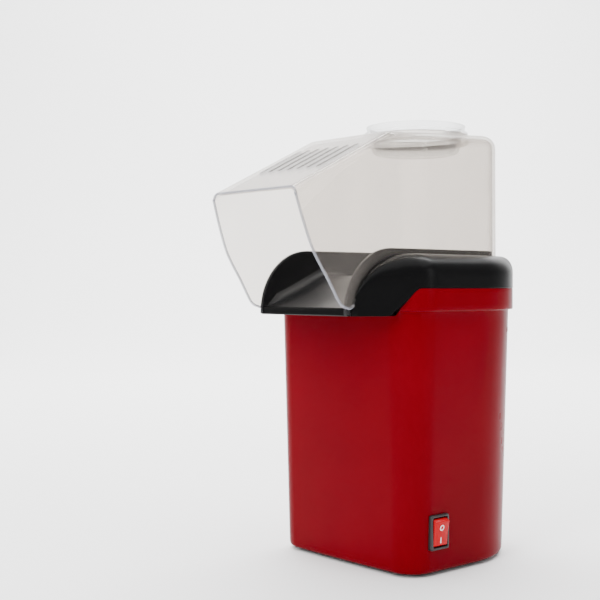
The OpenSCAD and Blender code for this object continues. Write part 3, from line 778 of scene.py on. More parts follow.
@dataclass
class Seam:
    """The seam between the housing and the collar, which climbs round the front corners."""

    side: float = 178.0
    front: float = 161.0
    corner: Point2 = (46.0, -47.0)
    facing: float = 49.0
    low: float = -0.53
    high: float = 0.10
    softness: float = 3.4

    def height(self, x: float, y: float) -> float:
        """The seam's height at a place in plan, rising straight as seen from the corner's front."""
        along, ahead = abs(x) - self.corner[0], y - self.corner[1]
        if ahead >= 0:
            return self.side
        if along <= 0:
            return self.front
        turn = math.atan2(ahead, along) - math.radians(self.facing)
        tall = self.side - self.front
        climbed = tall * (math.cos(turn) - self.low) / (self.high - self.low)
        rounded = tall - climbed
        blend = self.softness
        if abs(rounded) < blend:
            climbed = tall - (rounded + blend) ** 2 / (4 * blend)
        return self.front + min(tall, max(0.0, climbed))


@dataclass
class Housing:
    """The bucket-shaped outer housing, with its raised band."""

    radius: float = 66.5
    front: float = 67.5
    corner: float = 21.5
    draft: float = 4.2
    foot_z: float = 2.0
    band_z: float = 164.0
    band_out: float = 3.0
    wall: float = 2.4
    crown: float = 0.7
    foot: tuple[Point2, ...] = (
        (2.0, 6.6), (2.15, 5.9), (2.6, 5.15), (3.3, 4.6), (4.3, 4.28), (6.0, 4.1),
    )
    seam: Seam = field(default_factory=Seam)
    memory: dict[float, list[Point2]] = field(default_factory=dict)

    def outline(self, inset: float) -> list[Point2]:
        """The housing's plan outline, moved in by an inset."""
        corner = self.corner - inset if inset < 0 else self.corner - min(inset, 8.0)
        x = self.radius - inset - corner
        y = corner - self.front + inset
        if inset < 0:
            x = self.radius - self.corner + 1.0
            y = self.corner - self.front - 1.0
            corner = self.corner - inset - 1.0
        circles = [((-x, y), corner), ((x, y), corner), ((0.0, 0.0), self.radius - inset)]
        points = belt(circles, 26, 12)
        return [self.crowned(p, y - corner, x) for p in points]

    def crowned(self, point: Point2, front_y: float, half: float) -> Point2:
        """Bows the flat front out a little."""
        if point[1] > front_y + 0.01 or abs(point[0]) >= half:
            return point
        return (point[0], point[1] - self.crown * (1 - (point[0] / half) ** 2))

    def inset_at(self, z: float) -> float:
        """How far the outside lies inside the top section's outline."""
        band = [
            (self.band_z - 1.2, 0.03), (self.band_z - 0.5, -0.08), (self.band_z - 0.15, -0.4),
            (self.band_z, -1.6), (self.band_z + 0.12, -2.55), (self.band_z + 0.5, -2.9),
            (self.band_z + 1.1, -self.band_out), (self.seam.side - 0.7, -self.band_out),
            (self.seam.side - 0.2, -self.band_out + 0.2), (self.seam.side, -self.band_out + 0.7),
        ]
        return slope_between([*self.foot, *band], z)

    def heights(self) -> list[float]:
        """Heights of the housing's rings."""
        foot = [z for z, _ in self.foot]
        body = [foot[-1] + (self.band_z - 1.2 - foot[-1]) * i / 26 for i in range(1, 27)]
        band = [163.5, 163.85, 164.0, 164.12, 164.5, 165.1, 168.0, 171.5, 175.0, 177.3, 177.8, 178.0]
        return [*foot, *body, *band]

    def row(self, z: float, outside: bool) -> list[Point3]:
        """One ring of the shell, held below the seam."""
        plan = self.outline(self.inset_at(z) if outside else self.inner_inset(z))
        guide = self.outline(-self.band_out)
        points = []
        for k, (x, y) in enumerate(plan):
            top = self.seam.height(*guide[k])
            if z > top:
                level = self.inset_at(top) if outside else self.inner_inset(top)
                x, y = self.cached(level, k)
            points.append((x, y, min(z, top)))
        return points

    def inner_inset(self, z: float) -> float:
        """How far the inside lies inside the top section's outline."""
        lean = self.draft * (self.band_z - z) / (self.band_z - self.foot_z)
        return max(lean, 0.0) + (self.wall if z < self.band_z - 1.5 else 2.0)

    def cached(self, inset: float, k: int) -> Point2:
        """One point of an outline, remembered between calls."""
        key = round(inset, 4)
        if key not in self.memory:
            self.memory[key] = self.outline(key)
        return self.memory[key][k]

    def build(self, paint: Paint, switch: "RockerSwitch", gland: "Gland") -> None:
        """Makes the shell, its bosses and shelves, and dresses it."""
        rows = [self.row(z, True) for z in self.heights()]
        rows += [self.row(z, False) for z in reversed([2.0, 20.0, 90.0, 150.0, 162.4, 162.6, 178.0])]
        shell = Solid("housing_shell")
        shell.rows([*rows, rows[0]], True)
        piece = shell.build()
        carve(piece, switch.recess())
        carve(piece, switch.cutout())
        carve(piece, gland.hole(), turn=gland.lay)
        inside = Solid("housing_bosses")
        boss = [(1.5, 6.1), (4.2, 6.1), (4.5, 6.5), (4.5, 27.5), (4.1, 28.0), (1.5, 28.0)]
        for spot in BASE_SCREWS:
            inside.lathe(boss, spot, 28)
        half, reach = 5.0, 8.4
        for x, y, turn in COLLAR_SCREWS:
            cos, sin = math.cos(math.radians(turn)), math.sin(math.radians(turn))
            corners = [(-half, -half), (reach, -half), (reach, half), (-half, half)]
            plan = [(x + a * cos - b * sin, y + a * sin + b * cos) for a, b in corners]
            inside.prism(plan, 149.0, 152.0)
        whole = join([piece, inside.build()], "housing")
        complete(whole, 32, paint.of(Finish.RED_GLOSS), "base", "red_abs", "main_housing")


@dataclass
class Collar:
    """The dark collar: shoulders that arch down to the nose, a groove for the hood and a lip."""

    band_radius: float = 69.5
    band_front: float = 70.5
    corner: float = 23.5
    nose_reach: float = 95.0
    nose_half: float = 46.0
    nose_corner: float = 8.0
    nose_steps: int = 5
    top: float = 199.5
    base: float = 161.0
    arch_y: float = -50.0
    groove_half: float = 43.7
    groove_back: float = 50.4
    groove_corner: float = 17.5
    mouth_half: float = 41.0
    ledge_drop: float = 3.0
    shoulder: float = 13.0
    wall: float = 2.2
    seam: Seam = field(default_factory=Seam)

    def arch(self, y: float) -> float:
        """Height of the collar's top at a place along it."""
        if y >= self.arch_y:
            return self.top
        share = (self.arch_y - y) / (self.nose_reach + self.arch_y)
        return self.base + (self.top - self.base) * math.sqrt(max(0.0, 1 - share * share))

    def outline(self) -> list[Point2]:
        """Outer plan, from the right of the nose round the back to its left, open at the nose."""
        nose = (self.nose_half - self.nose_corner, self.nose_corner - self.nose_reach)
        cheek = (self.band_radius - self.corner, self.corner - self.band_front)
        run = (cheek[0] - nose[0], cheek[1] - nose[1])
        lean = math.acos((self.nose_corner - self.corner) / math.hypot(*run))
        tangent = math.degrees(math.atan2(run[1], run[0]) - lean)
        right = arc(nose, self.nose_corner, -67.9, -44.5, self.nose_steps)
        right += arc(nose, self.nose_corner, -44.5, tangent, 5)[1:]
        corner = arc(cheek, self.corner, tangent, 0, 16)
        right += line(right[-1], corner[0], 22)
        right += corner + line(corner[-1], (self.band_radius, 0.0), 14)
        right += arc((0, 0), self.band_radius, 0, 90, 48)
        return right + [(-x, y) for x, y in reversed(right[:-1])]

    def groove_edge(self, point: Point2, grow: float) -> Point2:
        """The matching point of the groove's outline for a point of the outer plan."""
        half = self.groove_half + grow
        if point[1] <= 0:
            return (math.copysign(min(half, abs(point[0])), point[0]), point[1])
        back = self.groove_back + grow
        corner = self.groove_corner + 2.2 + grow
        along = math.hypot(*point)
        u, v = abs(point[0]) / along, point[1] / along
        reach = min(half / max(u, 1e-6), back / max(v, 1e-6))
        reach = round_reach((u, v), (half - corner, back - corner), corner, reach)
        return (math.copysign(u * reach, point[0]), v * reach)

    def section(self, point: Point2, capped: bool) -> list[Point3]:
        """A closed cross-section from the outer wall over the shoulder to the chute's opening.

        Args:
            point: the outer wall's place in plan.
            capped: whether the strip outside the groove is left out.

        Returns:
            The section's points.
        """
        edge = self.groove_edge(point, 0.0)
        inner = self.groove_edge(point, self.mouth_half - self.groove_half)
        width = math.dist(point, edge)
        ledge = math.dist(edge, inner)
        crest = self.arch(point[1])
        low = min(self.seam.height(*point), crest - 3.2)
        ledge_z = max(crest - self.ledge_drop, self.base + 0.6)
        if capped:
            crest = ledge_z
        drop = min(self.shoulder, 0.62 * (crest - low), 0.75 * width + 0.6)
        round_u = min(0.72 * width, 1.35 * drop)
        skin = min(self.wall, 0.32 * (width + ledge), 0.3 * (crest - low))
        bead = min(0.6, 0.2 * width)
        path = [(0.35, low), (0.0, low + 0.35)]
        path += [(0.0, low + 0.35 + (crest - drop - low - 0.35) * i / 5) for i in range(1, 6)]
        for i in range(1, 11):
            turn = math.radians(9 * i)
            path.append((round_u * (1 - math.cos(turn)), crest - drop * (1 - math.sin(turn))))
        path += [(round_u + (width - bead - round_u) * i / 3, crest) for i in range(1, 4)]
        path += [(width - bead * 0.3, crest - bead * 0.3), (width, crest - bead)]
        path += [(width, ledge_z), (width + ledge - 0.01, ledge_z)]
        foot = max(ledge_z - 4.0, self.base)
        path += [(width + ledge, foot), (width + ledge - skin * 0.9, foot)]
        under = ledge_z - skin
        path += [(width + ledge - skin * 0.9, under), (max(width - skin, skin), under)]
        path += [
            (max(width - skin, skin), crest - skin),
            (round_u * 0.8 + skin * 0.5, crest - skin * 1.1),
        ]
        path += [(skin, crest - drop * 0.8 - skin * 0.2), (skin, low)]
        lean = (inner[0] - point[0], inner[1] - point[1])
        long = math.hypot(*lean) or 1.0
        return [(point[0] + lean[0] / long * u, point[1] + lean[1] / long * u, z) for u, z in path]

    def build(self, paint: Paint) -> None:
        """Makes the collar and dresses it."""
        whole = join([self.ring(), self.lip(), self.posts()], "collar")
        complete(whole, 36, paint.of(Finish.COLLAR), "base", "collar_black", "collar_shell")

    def ring(self) -> bpy.types.Object:
        """Sweeps the shoulders round, with the strip outside the groove left out at the nose."""
        plan = self.outline()
        first, last = self.nose_steps, len(plan) - 1 - self.nose_steps
        sections = []
        for k, point in enumerate(plan):
            if k == last:
                sections.append(self.section(point, False))
            sections.append(self.section(point, k <= first or k >= last))
            if k == first:
                sections.append(self.section(point, False))
        return Solid("collar_ring").rows(sections, True, True).build()

    def lip(self) -> bpy.types.Object:
        """Makes the plate under the nose and the rounded lip along its front."""
        plate = Solid("collar_lip")
        outline = arc((38, 8 - self.nose_reach), 7.9, -90, -33.6, 10) + [(52.2, -70.6), (50.0, -64.0)]
        outline += [(-x, y) for x, y in reversed(outline)]
        plate.prism(outline, self.base, self.base + 2.4)
        profile = [(-97.3, 161.6), (-97.35, 165.0), (-97.1, 165.8), (-96.5, 166.2), (-95.8, 166.1)]
        profile += [(-95.3, 165.4), (-95.0, 161.2), (-96.6, 161.0)]
        end, lip = 40.7, []
        for x in [-end + 2 * end * i / 24 for i in range(25)]:
            fall = 2.0 * smoothstep(36.0, end, abs(x))
            lip.append([(x, y + fall * 0.1, z) for y, z in profile])
        return plate.rows(lip, True, True).build()

    def posts(self) -> bpy.types.Object:
        """Makes the posts that the collar's screws run up into."""
        posts = Solid("collar_posts")
        post = [(1.5, 152.0), (3.3, 152.0), (3.6, 152.4), (3.6, 196.9), (1.5, 196.9)]
        for x, y, _ in COLLAR_SCREWS:
            posts.lathe(post, (x, y), 24)
        return posts.build()


@dataclass
class ChuteLiner:
    """The grey liner: cheeks with a rounded rim, a scooped floor and the chamber's seat."""

    half: float = 40.8
    back: float = 47.5
    corner: float = 15.0
    wall: float = 2.0
    rim: float = 2.3
    lip_z: float = 163.4
    cheek_y: float = -58.0
    cheek_radius: float = 39.7
    deck_z: float = 186.0
    hole: float = 38.2
    scoop_back: float = -47.0
    front: float = -95.1
    fillet: float = 7.0
    floor_low: float = 165.9
    sheet: float = 1.9
    front_foot: float = 161.6
    back_foot: float = 180.0
    foot_step_y: float = -64.0

    def cheek(self, y: float) -> float:
        """Height of the cheek's rim."""
        if y >= self.cheek_y:
            return self.lip_z + self.cheek_radius
        run = min(self.cheek_radius, self.cheek_y - y)
        return self.lip_z + math.sqrt(self.cheek_radius**2 - run * run)

    def path(self) -> list[tuple[Point2, Point2, float]]:
        """The cheeks' path from the right front, as (place, way in, rim height)."""
        steps = []
        for i in range(27):
            turn = math.radians(90 * i / 26)
            y = self.cheek_y - self.cheek_radius * math.cos(turn)
            steps.append(((self.half, y), (-1.0, 0.0), self.lip_z + self.cheek_radius * math.sin(turn)))
        steps[0] = (steps[0][0], steps[0][1], self.lip_z + 1.0)
        corner = (self.half - self.corner, self.back - self.corner)
        for _, y in line((0, self.cheek_y), (0, corner[1]), 12):
            steps.append(((self.half, y), (-1.0, 0.0), self.cheek(y)))
        for i, (x, y) in enumerate(arc(corner, self.corner, 0, 90, 14)):
            turn = math.radians(90 * i / 14)
            steps.append(((x, y), (-math.cos(turn), -math.sin(turn)), self.cheek(0)))
        for x, _ in line((corner[0], 0), (0, 0), 4):
            steps.append(((x, self.back), (0.0, -1.0), self.cheek(0)))
        mirrored = [((-p[0], p[1]), (-n[0], n[1]), z) for p, n, z in reversed(steps)]
        return [*steps, ((0.0, self.back), (0.0, -1.0), self.cheek(0)), *mirrored]

    def walls(self) -> bpy.types.Object:
        """Sweeps the cheeks and the back wall."""
        rows = []
        for (x, y), (nx, ny), top in self.path():
            foot = self.front_foot if y < self.foot_step_y else self.back_foot
            high = max(top, foot + 1.4)
            shape = [(0.0, foot), (0.0, (foot + high) / 2), (0.0, high - 0.9), (0.12, high - 0.4)]
            shape += [(0.45, high - 0.08), (0.9, high), (self.rim - 0.5, high - 0.05)]
            shape += [(self.rim - 0.08, high - 0.45), (self.rim, high - 1.0), (self.rim, high - 2.0)]
            shape += [
                (self.wall + 0.05, high - 2.8),
                (self.wall, (foot + high) / 2 - 1),
                (self.wall, foot),
            ]
            rows.append([(x + nx * d, y + ny * d, min(max(z, foot), high)) for d, z in shape])
        return Solid("liner_walls").rows(rows, True, True).build()

    def floor_height(self, x: float, y: float) -> float:
        """Height of the scooped floor away from its fillets."""
        share = min(1.0, max(0.0, (y - self.front) / (self.scoop_back - self.front)))
        rise = (self.deck_z - self.floor_low) * share
        dish = 1.6 * (1 - (x / self.half) ** 2) * math.sin(math.pi * share) ** 2
        return self.floor_low + rise - dish

    def reach(self, turn: float) -> tuple[float, bool]:
        """How far the floor runs from the chamber's axis at an angle, and whether it meets a wall."""
        u, v = abs(math.cos(turn)), math.sin(turn)
        inside = self.half - self.wall + 0.1
        back = self.back - self.wall + 0.1
        side = inside / max(u, 1e-6)
        if v <= 0:
            ahead = -self.front / max(-v, 1e-6)
            return (side, True) if side < ahead else (ahead, False)
        corner = self.corner - self.wall + 0.1
        far = round_reach((u, v), (inside - corner, back - corner), corner, min(side, back / v))
        return far, True

    def floor(self) -> bpy.types.Object:
        """Makes the floor as one sheet from the chamber's mouth to the walls and the lip."""
        front_turn = math.degrees(math.atan2(self.front, self.half - self.wall + 0.1))
        turns = [front_turn + (90 - front_turn) * i / 84 for i in range(85)]
        turns += [180 - t for t in reversed(turns[:-1])]
        turns += [180 - front_turn + (360 + 2 * front_turn - 180) * i / 32 for i in range(1, 32)]
        top, under = [], []
        shares = [0, 0.004, 0.02, 0.05, 0.1, 0.18, 0.3, 0.44, 0.58, 0.7, 0.8, 0.88, 0.94, 0.98, 1.0]
        for share in shares:
            upper, lower = [], []
            for degrees in turns:
                turn = math.radians(degrees)
                far, walled = self.reach(turn)
                gap = far - self.hole
                out = self.hole + gap * share
                x, y = out * math.cos(turn), out * math.sin(turn)
                z = self.floor_height(x, y)
                near = min(self.half - self.wall - abs(x), self.back - self.wall - y)
                soft = min(self.fillet, 0.5 * gap)
                if walled and 0 <= near < soft:
                    z += soft - math.sqrt(soft * soft - (soft - near) ** 2)
                z -= 1.2 * max(0.0, 1 - (out - self.hole) / 1.5) ** 2
                upper.append((x, y, z))
                lower.append((x, y, z - self.sheet))
            top.append(upper)
            under.append(lower)
        rows = [*top, *reversed(under)]
        return Solid("liner_floor").rows([*rows, rows[0]], True).build()

    def build(self, paint: Paint) -> None:
        """Makes the liner and dresses it."""
        seat_ring = Solid("liner_seat")
        seat_ring.lathe([(38.2, 184.0), (44.0, 184.0), (44.0, 185.2), (38.6, 185.2)], steps=96)
        boss = [(1.5, 184.0), (4.6, 184.0), (4.6, 192.4), (4.0, 193.0), (1.5, 193.0)]
        for degrees in LINER_SCREW_ANGLES:
            turn = math.radians(degrees)
            spot = (LINER_SCREW_RADIUS * math.cos(turn), LINER_SCREW_RADIUS * math.sin(turn))
            seat_ring.lathe(boss, spot, 24)
        whole = join([self.walls(), self.floor(), seat_ring.build()], "chute_scoop")
        complete(whole, 38, paint.of(Finish.LINER), "base", "liner_grey", "chute_liner")


@dataclass
class Hood:
    """The clear lift-off hood, with a sloping vented roof and an open mouth."""

    wall: float = 2.0
    half: float = 43.3
    back: float = 50.0
    corner: float = 17.5
    roof_z: float = 276.5
    roof_half: float = 42.5
    roof_round: float = 9.0
    roof_rise: float = 5.6
    fold_y: float = -57.0
    mouth_y: float = -136.0
    mouth_z: float = 238.0
    mouth_half: float = 40.3
    mouth_round: float = 5.5
    fold_soft: float = 10.0
    rim_z: float = 196.8
    vents: int = 7
    pitch: float = 9.0
    slot_half: float = 1.7
    slot_ends: Point2 = (-21.7, -56.3)
    vent_span: Point2 = (-114.0, -72.0)
    vent_low: float = 240.0
    bead_radius: float = 0.85
    cup_y: float = 6.0
    hole_radius: float = 31.0
    ring_radius: float = 36.0
    ring_height: float = 6.0

    def slope(self) -> float:
        """The slope of the roof ahead of its fold, in radians."""
        return math.atan2(self.roof_z - self.mouth_z, self.fold_y - self.mouth_y)

    def tilt(self) -> float:
        """The rise of the roof behind its fold, in radians."""
        return math.atan2(self.roof_rise, self.back - self.fold_y)

    def ring_top(self) -> float:
        """The height of the level ring that carries the cup."""
        return self.roof_z + math.tan(self.tilt()) * (self.cup_y + self.ring_radius - self.fold_y)

    def rib(self, y: float, z: float, half: float, radius: float, lean: float) -> list[Point3]:
        """An arch of the roof across the hood.

        Args:
            y: its place along the hood.
            z: the roof's height there.
            half: half its width.
            radius: radius of its two top corners.
            lean: the roof's slope there, in radians.

        Returns:
            Points on both sides.
        """
        points = []
        for i in range(9):
            turn = math.radians(90 * i / 8)
            across = half - radius * (1 - math.cos(turn))
            down = radius * (1 - math.sin(turn))
            for side in (-1, 1):
                points.append((side * across, y + down * math.sin(lean), z - down * math.cos(lean)))
        return points

    def form(self, inset: float, ahead: float, below: float) -> list[Point3]:
        """Points whose hull is the hood's closed form.

        Args:
            inset: how far inside the outer face it lies.
            ahead: how far it is carried on past the mouth.
            below: how far it is carried on below the rim.

        Returns:
            The points.
        """
        points: list[Point3] = []
        slope = self.slope()
        half, tilt = self.roof_half - inset, self.tilt()
        for i in range(9):
            turn = math.radians(90 * i / 8)
            shrink = (self.roof_round - inset) * (1 - math.cos(turn))
            down = inset + (self.roof_round - inset) * (1 - math.sin(turn))
            corner = max(self.corner - inset - shrink, 1.0)
            x, y = half - shrink - corner, self.back - inset - shrink - corner
            for side in (-1, 1):
                for px, py in arc((x, y), corner, 0, 90, 12):
                    away = py - self.fold_y
                    y_turned = self.fold_y + away * math.cos(tilt) + down * math.sin(tilt)
                    z_turned = self.roof_z + away * math.sin(tilt) - down * math.cos(tilt)
                    points.append((side * px, y_turned, z_turned))
        reach = self.fold_soft / (1 + math.cos(slope - tilt))
        centre_y = self.fold_y + reach * (math.sin(tilt) + math.sin(slope))
        centre_z = self.roof_z - reach * (math.cos(tilt) + math.cos(slope))
        for i in range(5):
            lean = tilt + (slope - tilt) * i / 4
            y = centre_y - (self.fold_soft - inset) * math.sin(lean)
            z = centre_z + (self.fold_soft - inset) * math.cos(lean)
            points += self.rib(y, z, half, self.roof_round - inset, lean)
        nose_y = self.mouth_y - ahead
        nose_z = self.mouth_z - inset / math.cos(slope) - ahead * math.tan(slope)
        points += self.rib(nose_y, nose_z, self.mouth_half - inset, self.mouth_round - inset, 0.0)
        for y, z, wide in self.mouth_line():
            for side in (-1, 1):
                points.append((side * (wide - inset), y - ahead, z - below))
        for side in (-1, 1):
            centre = (self.half - self.corner, self.back - self.corner)
            for px, py in arc(centre, self.corner - inset, 0, 90, 12):
                points.append((side * px, py, self.rim_z - below))
            points.append((side * (self.half - inset), -40.0, self.rim_z - below))
        return points

    def mouth_line(self) -> list[Point3]:
        """The mouth's side edge as (y, z, half width), bowed forward."""
        return [
            (-97.0, 165.7, 43.3), (-104.0, 169.0, 43.2), (-113.0, 183.0, 42.8),
            (-124.0, 199.5, 42.2), (-131.0, 216.5, 41.3), (-136.6, 233.5, 40.3),
        ]

    def hull(self, name: str, points: list[Point3]) -> bpy.types.Object:
        """The convex hull of points as an object."""
        edit = bmesh.new()
        for point in points:
            edit.verts.new((Vector(point) + AXIS) * MM)
        bmesh.ops.convex_hull(edit, input=edit.verts)
        loose = [v for v in edit.verts if not v.link_faces]
        bmesh.ops.delete(edit, geom=loose, context="VERTS")
        bmesh.ops.remove_doubles(edit, verts=edit.verts, dist=0.02 * MM)
        bmesh.ops.dissolve_limit(edit, angle_limit=math.radians(0.4), verts=edit.verts, edges=edit.edges)
        bmesh.ops.recalc_face_normals(edit, faces=edit.faces)
        mesh = bpy.data.meshes.new(name)
        edit.to_mesh(mesh)
        edit.free()
        made = bpy.data.objects.new(name, mesh)
        bpy.context.scene.collection.objects.link(made)
        return made

    def lower_cut(self) -> Solid:
        """Everything under the hood's lower edge, which follows the collar's groove."""
        edge = []
        for i in range(31):
            turn = math.radians(180 - 3 * i)
            edge.append((-50 + 42.3 * math.cos(turn), 161 + 35.8 * math.sin(turn)))
        outline = [*edge, (100, self.rim_z), (100, 100), (-150, 100), (-150, 165.0), (-100.5, 165.0)]
        outline += [(-97.2, 165.3), (-94.6, 166.6)]
        return Solid("hood_lower_cut").prism(outline, -100, 100, "X")

    def on_slope(self, point: Vector) -> Vector:
        """Moves a point from the fold's own plane onto the sloping roof."""
        turned = Matrix.Rotation(self.slope(), 4, "X") @ point
        return turned + Vector((0, self.fold_y, self.roof_z))

    def ring(self) -> bpy.types.Object:
        """The disc that becomes the cup's level ring once the hole is cut."""
        high, wide = self.ring_top(), self.ring_radius
        low = high - self.ring_height
        edge = [(0.0, low), (wide - 0.8, low), (wide, low + 0.8), (wide, high - 0.7), (wide - 0.7, high)]
        return Solid("hood_ring").lathe([*edge, (0.0, high)], (0, self.cup_y), 96).build()

    def slots(self) -> Solid:
        """The steam slots, lying flat before they are turned onto the roof."""
        tool = Solid("hood_slots")
        for i in range(self.vents):
            x = (i - (self.vents - 1) / 2) * self.pitch
            upper = arc((x, self.slot_ends[0]), self.slot_half, 0, 180, 10)
            lower = arc((x, self.slot_ends[1]), self.slot_half, 180, 360, 10)
            tool.prism(upper + lower, -5.0, 3.0)
        return tool

    def paint_vent_shade(self, hood: bpy.types.Object, paint: Paint) -> None:
        """Gives the cut walls of the steam slots a near-black, half-solid material: painted shade for
        the dark look of these edges in the clear plastic.

        Args:
            hood: the finished hood.
            paint: the materials.
        """
        hood.data.materials.append(paint.of(Finish.VENT_SHADE))
        slope = self.slope()
        up = Vector((0, -math.sin(slope), math.cos(slope)))
        reach = self.pitch * self.vents / 2
        for face in hood.data.polygons:
            middle = face.center / MM - AXIS
            near = abs(middle.x) < reach and self.vent_span[0] < middle.y < self.vent_span[1]
            if near and middle.z > self.vent_low and abs(face.normal.dot(up)) < 0.6:
                face.material_index = 1

    def bead(self) -> bpy.types.Object:
        """A rounded bead round the mouth's free edge."""
        curl = [Vector((42.3, y, z)) for y, z in ((-91.4, 169.6), (-93.5, 167.2), (-95.6, 166.0))]
        side = self.eased([Vector((w - 1.0, y - 0.1, z)) for y, z, w in self.mouth_line()], 5)
        half, radius = self.mouth_half - 1.0, self.mouth_round - 1
        arch = self.rib(self.mouth_y - 0.3, self.mouth_z - 0.9, half, radius, 0.0)
        over = sorted([Vector(p) for p in arch if p[0] > 0], key=lambda p: -p.x)
        right = [*curl, *side, *over]
        middle = [Vector((over[-1].x * s, over[-1].y, over[-1].z)) for s in (0.5, 0.0, -0.5)]
        left = [Vector((-p.x, p.y, p.z)) for p in reversed(right)]
        return tube("hood_bead", [*right, *middle, *left], self.bead_radius, 10)

    def eased(self, points: Sequence[Vector], steps: int) -> list[Vector]:
        """A smooth curve through points."""
        ends = [points[0] * 2 - points[1], *points, points[-1] * 2 - points[-2]]
        curve = []
        for a, b, c, d in zip(ends, ends[1:], ends[2:], ends[3:]):
            for i in range(steps):
                t = i / steps
                spread = (2 * b) + (c - a) * t + (2 * a - 5 * b + 4 * c - d) * t**2
                curve.append((spread + (3 * b - a - 3 * c + d) * t**3) * 0.5)
        return [*curve, points[-1]]

    def build(self, paint: Paint) -> None:
        """Makes the hood and dresses it."""
        hood = self.hull("hood_shell", self.form(0.0, 0.0, 0.0))
        inner = self.hull("hood_inner", self.form(self.wall, 14.0, 12.0))
        combine(hood, inner, "DIFFERENCE")
        combine(hood, self.ring(), "UNION")
        carve(hood, self.lower_cut())
        edge = arc((0, self.cup_y), self.hole_radius, 0, 360, 72)[:-1]
        carve(hood, Solid("hood_cup_hole").prism(edge, 262, 300))
        carve(hood, self.slots(), turn=self.on_slope)
        soften(hood, 34)
        weigh_normals(hood)
        dress(hood, paint.of(Finish.HOOD))
        self.paint_vent_shade(hood, paint)
        seat(hood, "hood_body", "clear_pc", "hood")
        # The bead's material darkens it: painted shade along the mouth's edge.
        complete(self.bead(), 60, paint.of(Finish.RIM_CLEAR_SHADED), "hood_body", "clear_pc")


def tube(name: str, run: Sequence[Vector], radius: float, sides: int) -> bpy.types.Object:
    """Sweeps a round tube along points.

    Args:
        name: the object's name.
        run: its centre line.
        radius: its radius.
        sides: points round it.

    Returns:
        The object.
    """
    rows = []
    across = Vector((0, 0, 1))
    for k, point in enumerate(run):
        ahead = (run[min(k + 1, len(run) - 1)] - run[max(k - 1, 0)]).normalized()
        across = (across - ahead * across.dot(ahead)).normalized()
        other = ahead.cross(across)
        end = 0.6 if k in (0, len(run) - 1) else 1.0
        ring = []
        for i in range(sides):
            turn = 2 * math.pi * i / sides
            ring.append(tuple(point + (across * math.cos(turn) + other * math.sin(turn)) * radius * end))
        rows.append(ring)
    return Solid(name).rows(rows, True, True).build()


@dataclass
class MeasuringCup:
    """The clear measuring cup that sits in the hood's roof."""

    centre_y: float = 6.0
    rim: float = 33.5
    neck: float = 30.5
    top: float = 288.0
    depth: float = 19.0
    seat: float = 281.98
    wall: float = 1.8

    def build(self, paint: Paint) -> None:
        """Makes the cup and dresses it."""
        low, rest, top = self.top - self.depth, self.seat, self.top
        rim, neck, wall = self.rim, self.neck, self.wall
        outside = [
            (0.0, low), (neck - 4.6, low), (neck - 2.6, low + 0.5), (neck - 1.2, low + 1.8),
            (neck - 0.6, low + 3.6), (neck - 0.1, rest - 0.2), (neck + 0.1, rest),
            (rim + 1.6, rest), (rim + 2.0, rest + 0.4), (rim + 2.0, rest + 1.1),
            (rim + 1.6, rest + 1.5), (rim - 0.2, rest + 1.7), (rim - 0.7, rest + 2.2),
            (rim - 0.4, top - 3.2), (rim, top - 1.4), (rim + 0.25, top - 0.8),
            (rim + 0.1, top - 0.2), (rim - 0.5, top), (rim - wall + 0.4, top - 0.1),
        ]
        inside = [
            (rim - wall, top - 0.6), (rim - 0.6 - wall, rest + 3.2), (rim - 1.2 - wall, rest + 2.2),
            (neck - wall + 0.2, rest + 1.2), (neck - wall, rest + 0.4), (neck - 0.9 - wall, low + 4.4),
            (neck - 1.8 - wall, low + 2.9), (neck - 3.6 - wall, low + wall + 0.1), (0.0, low + wall),
        ]
        cup = Solid("cup_bowl").lathe([*outside, *inside], (0, self.centre_y), 120).build()
        whole = join([cup, self.tab()], "measure_cup")
        complete(whole, 40, paint.of(Finish.CUP), "cup_body", "clear_pc", "measuring_cup")

    def tab(self) -> bpy.types.Object:
        """Makes the flat tab that lifts the cup out, behind its rim."""
        y = self.centre_y + self.rim - 1.0
        shape = [(-5.0, y), (-5.0, y + 3.6)] + arc((-3.4, y + 4.6), 1.6, 180, 90, 5)
        shape += arc((3.4, y + 4.6), 1.6, 90, 0, 5) + [(5.0, y + 3.6), (5.0, y)]
        rows = []
        for inset, z in ((0.35, -1.6), (0.0, -1.3), (0.0, -0.35), (0.3, -0.05)):
            rows.append(
                [(x * (1 - inset / 5), py - inset * 0.6 * (py > y), self.top + z) for x, py in shape]
            )
        return Solid("cup_tab").rows(rows, True, True).build()


